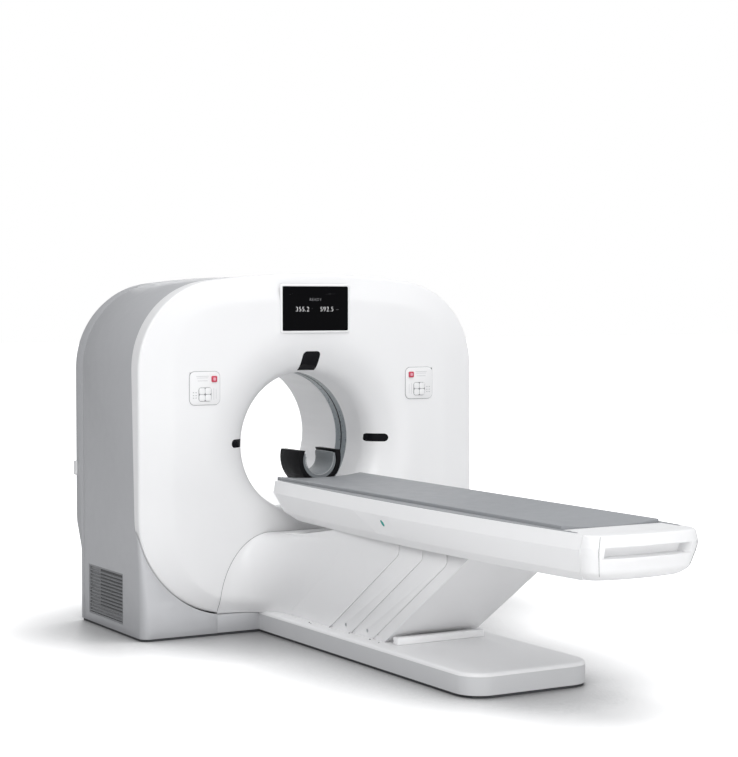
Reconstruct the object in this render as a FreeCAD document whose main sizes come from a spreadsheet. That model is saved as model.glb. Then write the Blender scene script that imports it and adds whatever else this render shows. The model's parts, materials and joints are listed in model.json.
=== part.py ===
import FreeCAD, Part

# A medical CT scanner: a gantry with its turning ring of tube and detectors, and a patient table on a
# parallelogram lift. Millimetres, +Z up. The origin is on the floor under the isocentre: X runs across the
# gantry, the scan plane is Y = 0, the gantry's front faces -Y and the table stands out along -Y.

import math
import os
from types import SimpleNamespace

import Sketcher
from FreeCAD import Placement, Rotation, Vector

# ---------------------------------------------------------------------------------------------------------
# Driving dimensions: alias, value, what it is
# ---------------------------------------------------------------------------------------------------------

DIMENSIONS = [
    ("iso_height", 917, "height of the bore axis above the floor"),
    ("bore_radius", 350, "patient bore"),
    ("gantry_half_width", 941, "side cover to the gantry mid-plane"),
    ("gantry_rise", 835, "top of the side covers above the bore axis"),
    ("crown_radius", 4400, "gentle arch of the gantry's top"),
    ("top_corner", 438, "outer radius of the gantry's two top corners"),
    ("body_wall", 6, "wall of the moulded gantry covers"),
    ("floor_gap", 12, "height of the dark plinth line, where the covers stop above the floor"),
    ("base_front", 362, "front skirt, ahead of the scan plane, at the floor"),
    ("skirt_top", 690, "height where the front skirt has swept back to the cover seam"),
    ("skirt_corner", 46, "radius of the skirt's upright corner at the floor"),
    ("seam_front", 262, "seam of front and side covers, ahead of the scan plane, at the bore axis"),
    ("rear_seam", 372, "seam of side and rear covers, behind the scan plane"),
    ("rear_foot", 405, "rear face near the floor"),
    ("rear_bulge", 498, "rear face of the upper rear cover"),
    ("rear_edge", 34, "rounding of the rear cover's outer edge"),
    ("rear_mouth", 398, "radius of the rear funnel's mouth"),
    ("seam_gap", 2, "visible gap between neighbouring covers"),
    ("cover_half_width", 942, "front cover"),
    ("cover_rise", 843, "front cover's highest point above the bore axis"),
    ("cover_bottom", 99, "front cover's lower edge"),
    ("cover_bottom_corner", 485, "radius of the front cover's bottom corners"),
    ("cover_rim", 330, "front edge of the cover's rim, ahead of the scan plane"),
    ("cover_face", 356, "flat face of the front cover, ahead of the scan plane"),
    ("rim_round", 12, "edge rounding of the front cover's rim"),
    ("bevel_side", 172, "width of the bevel round the face, at the sides"),
    ("bevel_top", 125, "width of the bevel at the top"),
    ("bevel_bottom", 60, "width of the bevel at the bottom"),
    ("throat_front", 198, "front end of the straight bore, ahead of the scan plane"),
    ("throat_round", 118, "arc of the front funnel next to the throat"),
    ("funnel_mouth", 596, "radius where the front funnel meets the flat face"),
    ("window_front", 56, "front edge of the scan window band"),
    ("window_rear", 59, "rear edge of the scan window band"),
    ("window_slit", 10, "width of the slit that the beam passes"),
    ("window_band_wall", 6, "thickness of the scan window band"),
    ("display_rise", 671, "centre of the display above the bore axis"),
    ("display_half_width", 185, "black glass of the display"),
    ("display_half_height", 110, "black glass of the display"),
    ("display_frame", 12, "white surround of the display"),
    ("display_proud", 8, "display surround, ahead of the cover face"),
    ("panel_offset", 607, "control panel centre to the gantry mid-plane"),
    ("panel_rise", 288, "control panel centre above the bore axis"),
    ("panel_side", 160, "control panel, edge to edge"),
    ("panel_round", 26, "corner radius of a control panel"),
    ("panel_thick", 4, "control panel"),
    ("stop_button_radius", 13, "stop button"),
    ("stop_button_travel", 4, "stop button"),
    ("pad_side", 68, "four-way key pad, edge to edge"),
    ("pad_travel", 1.5, "four-way key pad"),
    ("button_proud", 7, "stop button, ahead of its panel"),
    ("pad_proud", 3, "four-way key pad, ahead of its panel"),
    ("button_gap", 0.4, "clearance round buttons and pads"),
    ("laser_length", 94, "positioning laser window beside the bore, end to end, seen along the bore"),
    ("laser_width", 40, "positioning laser window beside the bore"),
    ("laser_offset", 352, "inner end of a side laser window to the gantry mid-plane"),
    ("top_laser_width", 98, "positioning laser window above the bore"),
    ("top_laser_low", 361, "lower end of the top laser window above the bore axis"),
    ("top_laser_high", 458, "upper end of the top laser window above the bore axis"),
    ("grille_front", 128, "air grille in the side cover, ahead of the scan plane"),
    ("grille_rear", 308, "air grille, behind the scan plane"),
    ("grille_bottom", 52, "air grille"),
    ("grille_top", 300, "air grille"),
    ("louvre_pitch", 17, "spacing of the grille's louvres"),
    ("frame_plate", 18, "steel base plates on the floor"),
    ("plinth_inset", 6.3, "base plates, inside the covers' outer faces"),
    ("seat", 0.3, "clearance between a piece and what it is seated on"),
    ("anchor_radius", 9, "floor anchor holes"),
    ("gantry_anchor_x", 1640, "gantry anchor holes, across"),
    ("gantry_anchor_y", 560, "gantry anchor holes, along"),
    ("table_anchor_x", 540, "table anchor holes, across"),
    ("table_anchor_y", 1500, "table anchor holes, along"),
    ("table_anchor_centre_y", 1310, "middle of the table anchor holes, ahead of the scan plane"),
    ("post_clearance", 33, "gantry posts to the side covers' inner faces"),
    ("post_width", 96, "gantry posts, across"),
    ("post_depth", 90, "gantry posts, along the bore"),
    ("post_rise", 323, "top of the gantry posts above the bore axis"),
    ("cross_arm_drop", 400, "lower cross arms of the stator frame, under the bore axis"),
    ("cross_arm_rise", 220, "upper cross arms of the stator frame, above the bore axis"),
    ("bearing_inner", 520, "bore of the main bearing"),
    ("bearing_split", 562, "running surface of the main bearing"),
    ("bearing_outer", 604, "outside of the main bearing"),
    ("bearing_width", 46, "main bearing, along the bore"),
    ("running_clearance", 0.05, "radial clearance of shafts and rings that turn"),
    ("disc_front", 60, "front face of the rotor disc, behind the scan plane"),
    ("disc_thick", 24, "rotor disc"),
    ("disc_inner", 402, "opening of the rotor disc"),
    ("disc_outer", 772, "rim of the rotor disc"),
    ("tube_orbit", 600, "axis of the X-ray tube to the bore axis"),
    ("tube_radius", 92, "X-ray tube housing"),
    ("tube_length", 230, "X-ray tube housing"),
    ("collimator_low", 404, "collimator, from the bore axis"),
    ("collimator_high", 500, "collimator, from the bore axis"),
    ("collimator_half", 92, "collimator, half its width"),
    ("detector_inner", 470, "front faces of the detectors, from the bore axis"),
    ("detector_depth", 96, "detector housing, along a radius"),
    ("detector_half_angle", 29, "detector arc to its middle, degrees"),
    ("detector_half_width", 59.5, "detector housing, to the scan plane"),
    ("slip_inner", 640, "slip ring"),
    ("slip_outer", 700, "slip ring"),
    ("slip_width", 40, "slip ring, along the bore"),
    ("pulley_radius", 58, "motor pulley"),
    ("pulley_inset", 225, "motor axis to the side cover"),
    ("pulley_drop", 727, "motor axis under the bore axis"),
    ("belt_thick", 5, "drive belt"),
    ("belt_width", 20, "drive belt"),
    ("belt_gap", 0.3, "clearance under the drive belt"),
    ("base_half_width", 318, "table base cover"),
    ("base_end", 2250, "foot end of the table base cover"),
    ("base_top", 105, "top of the table base cover"),
    ("base_corner", 112, "plan radius of the base cover's foot corners"),
    ("base_round", 14, "top edge of the base cover"),
    ("base_wall", 6, "table base cover"),
    ("skirt_half_width", 546, "centre skirt beside the table base"),
    ("mouth_clear", 690, "the skirt behind the front cover ends here, clear of the funnel"),
    ("arch_half_width", 530, "transition cover where it meets the front cover's lower edge"),
    ("arch_top", 487, "top of the transition cover at the front cover"),
    ("pedestal_half_width", 250, "outer side covers of the table pedestal"),
    ("pedestal_wall", 4, "covers of the table pedestal"),
    ("nest_step", 5.5, "each side cover lies this much further in than the one before"),
    ("flare_foot", 526, "end of the flare at the base cover, ahead of the scan plane"),
    ("deck_end", 1050, "end of the closed deck, ahead of the scan plane"),
    ("deck_end_height", 572, "height of the deck's far end"),
    ("first_edge", 954, "foot edge of the fixed side cover at the base, ahead of the scan plane"),
    ("edge_pitch", 187, "spacing of the side covers' edges at the base"),
    ("sloped_face", 1424, "foot face of the pedestal at the base, ahead of the scan plane"),
    ("bend_height", 514, "height where the side covers' edges turn upright"),
    ("bend_radius", 34, "round of that turn"),
    ("plate_top", 684, "hidden top of the moving side covers"),
    ("sloped_top", 592, "hidden top of the sloped foot face"),
    ("plate_foot", 95, "hidden foot of the moving side covers"),
    ("lift_angle", 33.5, "lean of the lift arms from level as shown, degrees"),
    ("arm_length", 850, "lift arm, pivot to pivot"),
    ("pivot_height", 136, "base pivots above the floor"),
    ("front_arm_pivot", 1000, "base pivot of the foot-side arm, ahead of the scan plane"),
    ("rear_arm_pivot", 750, "base pivot of the gantry-side arm, ahead of the scan plane"),
    ("arm_half_width", 140, "lift arms, outside"),
    ("arm_bar", 16, "side bar of a lift arm"),
    ("arm_depth", 56, "side bar of a lift arm"),
    ("shaft_radius", 15, "lift shafts"),
    ("hub_radius", 25, "hub tubes of the lift arms"),
    ("open_pivot_clearance", 1.5, "extra radius at the gantry-side arm's upper hub"),
    ("hinge_pin_radius", 8, "hinge pins of the moving side covers"),
    ("hinge_inset", 45, "hinge pin to the edge of its side cover"),
    ("ear_inner", 214, "ears that carry the hinge pins"),
    ("ear_outer", 225, "ears that carry the hinge pins"),
    ("shell_top", 748, "top of the table shell"),
    ("shell_crease", 690, "crease line of the table shell"),
    ("shell_low", 602, "lower crease of the table shell"),
    ("shell_bottom", 567, "lower edge of the table shell"),
    ("shell_head", 362, "head end of the table shell, ahead of the scan plane"),
    ("shell_foot", 2934, "seam of table shell and end cap, ahead of the scan plane"),
    ("shell_middle", 1400, "widest point of the table shell, ahead of the scan plane"),
    ("shell_wall", 5, "table shell"),
    ("carrier_head", 620, "head end of the table's steel carrier, ahead of the scan plane"),
    ("carrier_foot", 2700, "foot end of the table's steel carrier, ahead of the scan plane"),
    ("indicator_ahead", 146, "lamp in the shell's side, beyond the shell's widest point"),
    ("indicator_drop", 30, "lamp in the shell's side, under the crease"),
    ("head_half_width", 263, "table shell at its head end"),
    ("middle_half_width", 310, "table shell at its widest"),
    ("foot_half_width", 262, "table shell at its foot end"),
    ("crease_swell", 14, "crease, outside the shell's top edge"),
    ("cap_corner", 84, "plan radius of the end cap's corners"),
    ("cap_end", 3026, "foot end of the end cap, ahead of the scan plane"),
    ("cradle_half_width", 238, "sliding tabletop"),
    ("cradle_head", 402, "head end of the tabletop, ahead of the scan plane"),
    ("cradle_foot", 2762, "foot end of the tabletop, ahead of the scan plane"),
    ("cradle_top", 764, "tabletop's side edges"),
    ("cradle_dip", 14, "hollow of the tabletop"),
    ("cradle_bottom", 724, "underside of the tabletop"),
    ("cradle_gap", 5, "tabletop to the shell beside it"),
    ("cradle_travel", 1600, "stroke of the tabletop"),
    ("holder_length", 205, "head holder, along the table"),
    ("holder_foot", 408, "foot end of the head holder, ahead of the scan plane"),
    ("holder_half_width", 113, "head holder"),
    ("holder_bottom", 727, "head holder"),
    ("holder_top", 885, "head holder's rims"),
    ("holder_bore", 95, "hollow of the head holder"),
    ("cushion_thick", 16, "head cushion"),
]

doc = FreeCAD.newDocument("ct_scanner")
sheet = doc.addObject("Spreadsheet::Sheet", "Dimensions")
for row, (alias, amount, note) in enumerate(DIMENSIONS, start=1):
    sheet.set(f"A{row}", note)
    sheet.set(f"B{row}", str(amount))
    sheet.setAlias(f"B{row}", alias)
doc.recompute()


class Size:
    """A number together with the sheet formula that gives it, so that a feature stays bound to the cells."""

    def __init__(self, number, formula):
        self.number = float(number)
        self.formula = formula

    def __float__(self):
        return self.number

    def __add__(self, other):
        return Size(self.number + float(other), f"({self.formula} + {formula_of(other)})")

    def __radd__(self, other):
        return self + other

    def __sub__(self, other):
        return Size(self.number - float(other), f"({self.formula} - {formula_of(other)})")

    def __rsub__(self, other):
        return Size(float(other) - self.number, f"({formula_of(other)} - {self.formula})")

    def __mul__(self, other):
        return Size(self.number * float(other), f"({self.formula} * {formula_of(other)})")

    def __rmul__(self, other):
        return self * other

    def __truediv__(self, other):
        return Size(self.number / float(other), f"({self.formula} / {formula_of(other)})")

    def __neg__(self):
        return Size(-self.number, f"(0 - {self.formula})")


def formula_of(value):
    return value.formula if isinstance(value, Size) else repr(float(value))


# size.NAME is a plain number, cell.NAME is the same value bound to its cell
size = SimpleNamespace(**{alias: float(sheet.get(alias)) for alias, _, _ in DIMENSIONS})
cell = SimpleNamespace(**{alias: Size(sheet.get(alias), f"Dimensions.{alias}") for alias, _, _ in DIMENSIONS})
nodes = {}
for known in (size, cell):
    known.gantry_top = known.iso_height + known.gantry_rise
    known.cover_top = known.iso_height + known.cover_rise
    known.display_height = known.iso_height + known.display_rise
    known.panel_height = known.iso_height + known.panel_rise
    known.post_outer = known.gantry_half_width - known.body_wall - known.post_clearance
    known.post_inner = known.post_outer - known.post_width
    known.post_top = known.iso_height + known.post_rise
    known.pulley_x = known.gantry_half_width - known.pulley_inset
    known.pulley_z = known.iso_height - known.pulley_drop


# ---------------------------------------------------------------------------------------------------------
# Helpers
# ---------------------------------------------------------------------------------------------------------


def bind(thing, prop, value):
    thing.setExpression(prop, formula_of(value))


def keep(label, thing):
    """Names a finished piece and lists it for export."""
    thing.Label = label
    nodes[label] = thing
    return thing


def shaped(label, shape):
    """A piece whose form is worked out below from the sheet's sizes."""
    thing = doc.addObject("Part::Feature", label)
    thing.Shape = shape
    return keep(label, thing)


def place(thing, x=0, y=0, z=0):
    for axis, value in zip("xyz", (x, y, z)):
        bind(thing, f"Placement.Base.{axis}", value)


def block(name, x, y, z):
    """A box between a low and a high bound on each axis."""
    box = doc.addObject("Part::Box", name)
    for prop, (low, high) in zip(("Length", "Width", "Height"), (x, y, z)):
        bind(box, prop, high - low)
    place(box, x[0], y[0], z[0])
    return box


def drum(name, radius, x, y, z):
    """A cylinder along the one axis that is given as a pair of bounds."""
    cylinder = doc.addObject("Part::Cylinder", name)
    bind(cylinder, "Radius", radius)
    if isinstance(x, tuple):
        turn, span, base = Rotation(Vector(0, 1, 0), 90), x, (x[0], y, z)
    elif isinstance(y, tuple):
        turn, span, base = Rotation(Vector(1, 0, 0), -90), y, (x, y[0], z)
    else:
        turn, span, base = Rotation(), z, (x, y, z[0])
    bind(cylinder, "Height", span[1] - span[0])
    cylinder.Placement = Placement(Vector(), turn)
    place(cylinder, *base)
    return cylinder


def joined(name, things):
    fuse = doc.addObject("Part::MultiFuse", name)
    fuse.Shapes = things
    return fuse


def carved(name, base, tools):
    cut = doc.addObject("Part::Cut", name)
    cut.Base = base
    cut.Tool = tools[0] if len(tools) == 1 else joined(name + "_tools", tools)
    return cut


def origin_plane(body, role):
    return next(item for item in body.Origin.OriginFeatures if item.Role == role)


def new_sketch(body, role, offset=0):
    sketch = body.newObject("Sketcher::SketchObject", "sketch")
    sketch.AttachmentSupport = (origin_plane(body, role), [""])
    sketch.MapMode = "FlatFace"
    bind(sketch, "AttachmentOffset.Base.z", offset)
    return sketch


def hold(sketch, geometry, point, u, v):
    """Holds a point of the sketch at bound distances from its origin."""
    for kind, axis, value in (("DistanceX", -2, u), ("DistanceY", -1, v)):
        if float(value) == 0:
            sketch.addConstraint(Sketcher.Constraint("PointOnObject", geometry, point, axis))
            continue
        number = sketch.addConstraint(Sketcher.Constraint(kind, -1, 1, geometry, point, float(value)))
        bind(sketch, f"Constraints[{number}]", value)


def polygon(sketch, points):
    first = sketch.GeometryCount
    ends = points[1:] + points[:1]
    for (u, v), (next_u, next_v) in zip(points, ends):
        start = Vector(float(u), float(v), 0)
        sketch.addGeometry(Part.LineSegment(start, Vector(float(next_u), float(next_v), 0)))
    for step in range(len(points)):
        following = first + (step + 1) % len(points)
        sketch.addConstraint(Sketcher.Constraint("Coincident", first + step, 2, following, 1))
    for step, (u, v) in enumerate(points):
        hold(sketch, first + step, 1, u, v)


def circle(sketch, u, v, radius):
    number = sketch.addGeometry(Part.Circle(Vector(float(u), float(v), 0), Vector(0, 0, 1), float(radius)))
    hold(sketch, number, 3, u, v)
    held = sketch.addConstraint(Sketcher.Constraint("Radius", number, float(radius)))
    bind(sketch, f"Constraints[{held}]", radius)


def feature(body, kind, sketch, **settings):
    made = body.newObject("PartDesign::" + kind, kind.lower())
    made.Profile = sketch
    for name, value in settings.items():
        if isinstance(value, Size):
            bind(made, name, value)
        else:
            setattr(made, name, value)
    sketch.Visibility = False
    return made


def turned(label, points):
    """A ring round the bore axis, from its section given as (radius, y) corners."""
    body = doc.addObject("PartDesign::Body", label)
    sketch = new_sketch(body, "XY_Plane")
    polygon(sketch, points)
    feature(body, "Revolution", sketch, ReferenceAxis=(sketch, ["V_Axis"]), Angle=360.0)
    place(body, z=cell.iso_height)
    return keep(label, body)


def extruded(label, role, low, high):
    """A body with one padded sketch between two offsets along the plane's row axis; the sketch is returned."""
    body = doc.addObject("PartDesign::Body", label)
    facing_back = role == "XZ_Plane"
    sketch = new_sketch(body, role, -low if facing_back else low)
    pad = feature(body, "Pad", sketch, Length=high - low, Reversed=facing_back)
    keep(label, body)
    return body, sketch, pad


def quarter(start, corner, end):
    """A quarter of an ellipse that leaves start towards corner and reaches end coming from corner."""
    curve = Part.BSplineCurve()
    weights = [1, math.sqrt(0.5), 1]
    curve.buildFromPolesMultsKnots([start, corner, end], [3, 3], [0, 1], False, 2, weights)
    return curve.toShape()


def line(start, end):
    return Part.LineSegment(start, end).toShape()


def arc(start, middle, end):
    return Part.Arc(start, middle, end).toShape()


def solid_between(wires):
    """A solid with straight rulings from each outline to the next."""
    return Part.makeLoft(wires, True, True)


def slab(wire, reach):
    """A closed outline pushed along a vector."""
    return Part.Face(wire).extrude(reach)


def box_between(x, y, z):
    corner = Vector(x[0], y[0], z[0])
    return Part.makeBox(x[1] - x[0], y[1] - y[0], z[1] - z[0], corner)


def rounded_path(corners):
    """A closed outline through (point, radius) corners, each rounded by its own tangent arc."""
    stops = []
    for number, (point, radius) in enumerate(corners):
        before = corners[number - 1][0]
        after = corners[(number + 1) % len(corners)][0]
        if radius == 0:
            stops.append((point, None, point))
            continue
        to_before = (before - point).normalize()
        to_after = (after - point).normalize()
        half = to_before.getAngle(to_after) / 2
        reach = radius / math.tan(half)
        middle_way = (to_before + to_after).normalize()
        middle = point + middle_way * (radius / math.sin(half) - radius)
        stops.append((point + to_before * reach, middle, point + to_after * reach))
    edges = []
    for number, (start, middle, end) in enumerate(stops):
        if middle is not None:
            edges.append(arc(start, middle, end))
        following = stops[(number + 1) % len(stops)][0]
        if (following - end).Length > 1e-6:
            edges.append(line(end, following))
    return Part.Wire(edges)


# ---------------------------------------------------------------------------------------------------------
# Outlines of the gantry
# ---------------------------------------------------------------------------------------------------------


def crown_corner(half_width, top, radius, crown):
    """Centre of a top corner and the point where it runs into the crowned top."""
    centre_x = half_width - radius
    centre_z = top - crown + math.sqrt((crown - radius) ** 2 - centre_x**2)
    way = Vector(centre_x, 0, centre_z - (top - crown)).normalize()
    return Vector(centre_x, 0, centre_z), Vector(0, 0, top - crown) + way * crown


def crowned_top(y, half_width, top, radius, crown):
    """The edges from the right side, over the crowned top, to the left side."""
    centre, meet = crown_corner(half_width, top, radius, crown)
    middle_way = (meet - centre).normalize() + Vector(1, 0, 0)
    middle = centre + middle_way.normalize() * radius
    right = [Vector(half_width, y, centre.z), Vector(middle.x, y, middle.z), Vector(meet.x, y, meet.z)]
    left = [Vector(-point.x, y, point.z) for point in right]
    return [arc(*right), arc(right[2], Vector(0, y, top), left[2]), arc(*reversed(left))]


def cover_outline(y, side=0.0, top=0.0, bottom=0.0):
    """The front cover's outline at one Y, drawn in by the given amounts."""
    half_width = size.cover_half_width - side
    low = size.cover_bottom + bottom
    corner = size.cover_bottom_corner - (side + bottom) / 2
    inner = half_width - corner
    reach = corner * math.sqrt(0.5)
    upper = crowned_top(y, half_width, size.cover_top - top, size.top_corner - side, size.crown_radius)
    right_low = Vector(half_width, y, low + corner)
    left_low = Vector(-half_width, y, low + corner)
    right_foot = Vector(inner, y, low)
    left_foot = Vector(-inner, y, low)
    right_middle = Vector(inner + reach, y, low + corner - reach)
    left_middle = Vector(-inner - reach, y, low + corner - reach)
    edges = [line(left_foot, right_foot), arc(right_foot, right_middle, right_low)]
    edges += [line(right_low, upper[0].Vertexes[0].Point)] + upper
    edges += [line(upper[-1].Vertexes[-1].Point, left_low), arc(left_low, left_middle, left_foot)]
    return Part.Wire(edges)


def body_outline(y, inset=0.0):
    """The outline of the side and rear covers at one Y: square at the floor, round at the top."""
    half_width = size.gantry_half_width - inset
    radius = size.top_corner - inset
    upper = crowned_top(y, half_width, size.gantry_top - inset, radius, size.crown_radius)
    right_foot = Vector(half_width, y, size.floor_gap)
    left_foot = Vector(-half_width, y, size.floor_gap)
    edges = [line(left_foot, right_foot), line(right_foot, upper[0].Vertexes[0].Point)] + upper
    edges.append(line(upper[-1].Vertexes[-1].Point, left_foot))
    return Part.Wire(edges)


def cover_form(inset):
    """The front cover as a block: rim, rounded edge, bevel and flat face, drawn in by a wall."""
    face = -size.cover_face + inset
    rim = -size.cover_rim + inset
    edge = size.rim_round
    sections = [cover_outline(-size.throat_front, inset, inset, inset)]
    for angle in (0, 45, 90) if inset == 0 else (90,):
        turn = math.radians(angle)
        draw = inset + edge * (1 - math.cos(turn))
        sections.append(cover_outline(rim + edge * (1 - math.sin(turn)), draw, draw, draw))
    sections.append(cover_outline(face, inset + size.bevel_side, inset + size.bevel_top,
                                  inset + size.bevel_bottom))
    return solid_between(sections)


def ring_solid(edges):
    """Turns a closed section in the plane X, Y through the bore axis round that axis."""
    section = Part.Face(Part.Wire(edges))
    section.translate(Vector(0, 0, size.iso_height))
    return section.revolve(Vector(0, 0, size.iso_height), Vector(0, 1, 0), 360)


def funnel_arcs(sink):
    """The funnel's section, sunk below its surface: a tight arc at the throat, then a wide one to the face."""
    mouth, bore = size.funnel_mouth, size.bore_radius
    throat, face = -size.throat_front, -size.cover_face
    tight = size.throat_round
    rise, reach = throat - face, mouth - bore - tight
    wide = (reach**2 + rise**2 - tight**2) / (2 * (rise - tight))
    near, far = Vector(bore + tight, throat), Vector(mouth, face + wide)
    meet = (near - far).normalize()
    half_way = (meet + Vector(-1, 0)).normalize()
    top = (meet + Vector(0, -1)).normalize()
    first = [near + way * (tight - sink) for way in (Vector(-1, 0), half_way, meet)]
    second = [far + way * (wide - sink) for way in (meet, top, Vector(0, -1))]
    return first, second


def chords(three_points, steps=2):
    """Short straight runs along an arc, so that a ring turned from it is a few cones."""
    curve = Part.Arc(*three_points)
    span = (curve.LastParameter - curve.FirstParameter) / steps
    stops = [curve.value(curve.FirstParameter + span * step) for step in range(steps + 1)]
    return [line(start, end) for start, end in zip(stops, stops[1:])]


def funnel_band(outer_sink, inner_sink):
    """The edges of a skin between two sinks, from the throat to the mouth and back."""
    front, back = funnel_arcs(outer_sink), funnel_arcs(inner_sink)
    edges = chords(front[0], 4) + chords(front[1], 4)
    edges.append(line(front[1][2], back[1][2]))
    edges += chords(back[1][::-1]) + chords(back[0][::-1])
    return edges, front[0][0], back[0][0]


def funnel_skin():
    """The front funnel: a straight throat that opens in two tangent arcs to the flat face."""
    wall = size.body_wall
    bore = size.bore_radius
    inner_end = -size.window_front - size.seat
    edges, throat, behind = funnel_band(0, wall)
    edges += [line(behind, Vector(bore + wall, inner_end))]
    edges += [line(Vector(bore + wall, inner_end), Vector(bore, inner_end))]
    edges += [line(Vector(bore, inner_end), throat)]
    return ring_solid(edges)


def behind_seam(margin=0.0):
    """Everything behind the seam of front and side covers, which leans back towards the top."""
    lean = 0.04
    low_y = -size.seam_front - lean * size.iso_height + margin
    high_z = size.gantry_top + size.top_corner
    high_y = -size.seam_front + lean * (high_z - size.iso_height) + margin
    far = size.rear_bulge + size.gantry_half_width
    reach = 2 * size.gantry_half_width
    corners = [Vector(-reach, low_y, 0), Vector(-reach, high_y, high_z), Vector(-reach, far, high_z)]
    corners.append(Vector(-reach, far, 0))
    return slab(Part.makePolygon(corners + corners[:1]), Vector(2 * reach, 0, 0))


def arch_prism(grow, front, back):
    """The quarter ellipses that bound the transition cover, as a prism along the bore."""
    half, top = size.arch_half_width + grow, size.arch_top + grow
    inner = size.pedestal_half_width + grow
    low = size.cover_bottom - size.cover_face
    foot = size.cover_bottom
    edges = [line(Vector(-half, 0, low), Vector(half, 0, low)), line(Vector(half, 0, low), Vector(half, 0, foot))]
    edges.append(quarter(Vector(half, 0, foot), Vector(half, 0, top), Vector(inner, 0, top)))
    edges.append(line(Vector(inner, 0, top), Vector(-inner, 0, top)))
    edges.append(quarter(Vector(-inner, 0, top), Vector(-half, 0, top), Vector(-half, 0, foot)))
    edges.append(line(Vector(-half, 0, foot), Vector(-half, 0, low)))
    prism = slab(Part.Wire(edges), Vector(0, back - front, 0))
    prism.translate(Vector(0, front, 0))
    return prism


# ---------------------------------------------------------------------------------------------------------
# Gantry covers
# ---------------------------------------------------------------------------------------------------------


def side_sign(side):
    return -1 if side == "left" else 1


def pill(length, width, depth, centre):
    """A flat bar with round ends, its length along X and its depth along Y."""
    half = length / 2 - width / 2
    reach = width / 2
    edges = [line(Vector(-half, 0, -reach), Vector(half, 0, -reach))]
    edges.append(arc(Vector(half, 0, -reach), Vector(half + reach, 0, 0), Vector(half, 0, reach)))
    edges.append(line(Vector(half, 0, reach), Vector(-half, 0, reach)))
    edges.append(arc(Vector(-half, 0, reach), Vector(-half - reach, 0, 0), Vector(-half, 0, -reach)))
    form = slab(Part.Wire(edges), Vector(0, depth, 0))
    form.translate(centre)
    return form


def laser_slot(side, shrink=0.0):
    """The slot beside the bore that a positioning laser shines through."""
    centre_x = side_sign(side) * (size.laser_offset + size.laser_length / 2)
    centre = Vector(centre_x, -size.cover_face - size.bore_radius, size.iso_height + 10)
    return pill(size.laser_length - 2 * shrink, size.laser_width - 2 * shrink, size.bore_radius * 2, centre)


def top_laser_slot(shrink=0.0):
    """The slot above the bore, open towards the throat and round at the top."""
    half = size.top_laser_width / 2 - shrink
    low = size.iso_height + size.top_laser_low + shrink
    high = size.iso_height + size.top_laser_high - shrink
    front = -size.cover_face - size.bore_radius
    corners = [(Vector(-half, front, low), 8), (Vector(half, front, low), 8)]
    corners += [(Vector(half, front, high), 22), (Vector(-half, front, high), 22)]
    return slab(rounded_path(corners), Vector(0, 2 * size.bore_radius, 0))


def panel_blank(side, grow, front, back):
    """The rounded square of a control panel, from one Y to another."""
    half = size.panel_side / 2 + grow
    centre = side_sign(side) * size.panel_offset
    corners = []
    for x, z in ((-1, -1), (1, -1), (1, 1), (-1, 1)):
        point = Vector(centre + x * half, front, size.panel_height + z * half)
        corners.append((point, size.panel_round + grow))
    return slab(rounded_path(corners), Vector(0, back - front, 0))


def button_spot(side):
    """Centre of a stop button: the panel's upper corner on the bore side."""
    reach = size.panel_side / 2 - 36
    return side_sign(side) * (size.panel_offset) + (reach if side == "left" else -reach), size.panel_height + 44


def pad_blank(side, grow, front, back):
    """The four-way pad, low in the middle of its panel."""
    half = size.pad_side / 2 + grow
    centre_x = side_sign(side) * size.panel_offset
    centre_z = size.panel_height - 30
    corners = []
    for x, z in ((-1, -1), (1, -1), (1, 1), (-1, 1)):
        corners.append((Vector(centre_x + x * half, front, centre_z + z * half), 14 + grow))
    return slab(rounded_path(corners), Vector(0, back - front, 0))


def button_bar(side, grow, front, back):
    x, z = button_spot(side)
    return Part.makeCylinder(size.stop_button_radius + grow, back - front, Vector(x, front, z), Vector(0, 1, 0))


def make_front_cover():
    shell = cover_form(0).cut(cover_form(size.body_wall))
    mouth = Part.makeCylinder(size.funnel_mouth, size.cover_face, Vector(0, -size.cover_face, size.iso_height),
                              Vector(0, 1, 0))
    cover = shell.cut(mouth).fuse(funnel_skin()).removeSplitter()
    deep = -size.cover_face - size.display_proud
    cover = cover.cut(slab(cover_outline(size.window_front), Vector(0, -1, 0)).fuse(
        behind_seam(-size.seam_gap / 2).cut(Part.makeCylinder(
            size.funnel_mouth, 2 * size.cover_face, Vector(0, -size.cover_face, size.iso_height), Vector(0, 1, 0)))))
    cover = cover.cut(arch_prism(size.seam_gap / 2, deep, 0))
    cover = cover.cut(display_block(0.5, deep, -size.throat_front))
    for side in ("left", "right"):
        cover = cover.cut(laser_slot(side))
        cover = cover.cut(button_bar(side, size.button_gap, deep, -size.throat_front))
        cover = cover.cut(pad_blank(side, size.button_gap, deep, -size.throat_front))
    return shaped("front_cover", cover.cut(top_laser_slot()))


def display_block(grow, front, back):
    half_x = size.display_half_width + size.display_frame + grow
    half_z = size.display_half_height + size.display_frame + grow
    corners = []
    for x, z in ((-1, -1), (1, -1), (1, 1), (-1, 1)):
        corners.append((Vector(x * half_x, front, size.display_height + z * half_z), 14 + grow))
    return slab(rounded_path(corners), Vector(0, back - front, 0))


def make_display():
    """A shallow white pod set into the front cover, with a black glass in its face."""
    front = -cell.cover_face - cell.display_proud
    depth = 34
    glass_depth = 5
    pod = display_block(0, float(front), float(front) + depth)
    half_x, half_z = size.display_half_width, size.display_half_height
    recess = box_between((-half_x, half_x), (float(front) - 1, float(front) + glass_depth),
                         (size.display_height - half_z, size.display_height + half_z))
    shaped("display_surround", pod.cut(recess))
    glass = block("display_glass", (-cell.display_half_width, cell.display_half_width),
                  (front + 1, front + glass_depth),
                  (cell.display_height - cell.display_half_height, cell.display_height + cell.display_half_height))
    keep("display_glass", glass)


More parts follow.
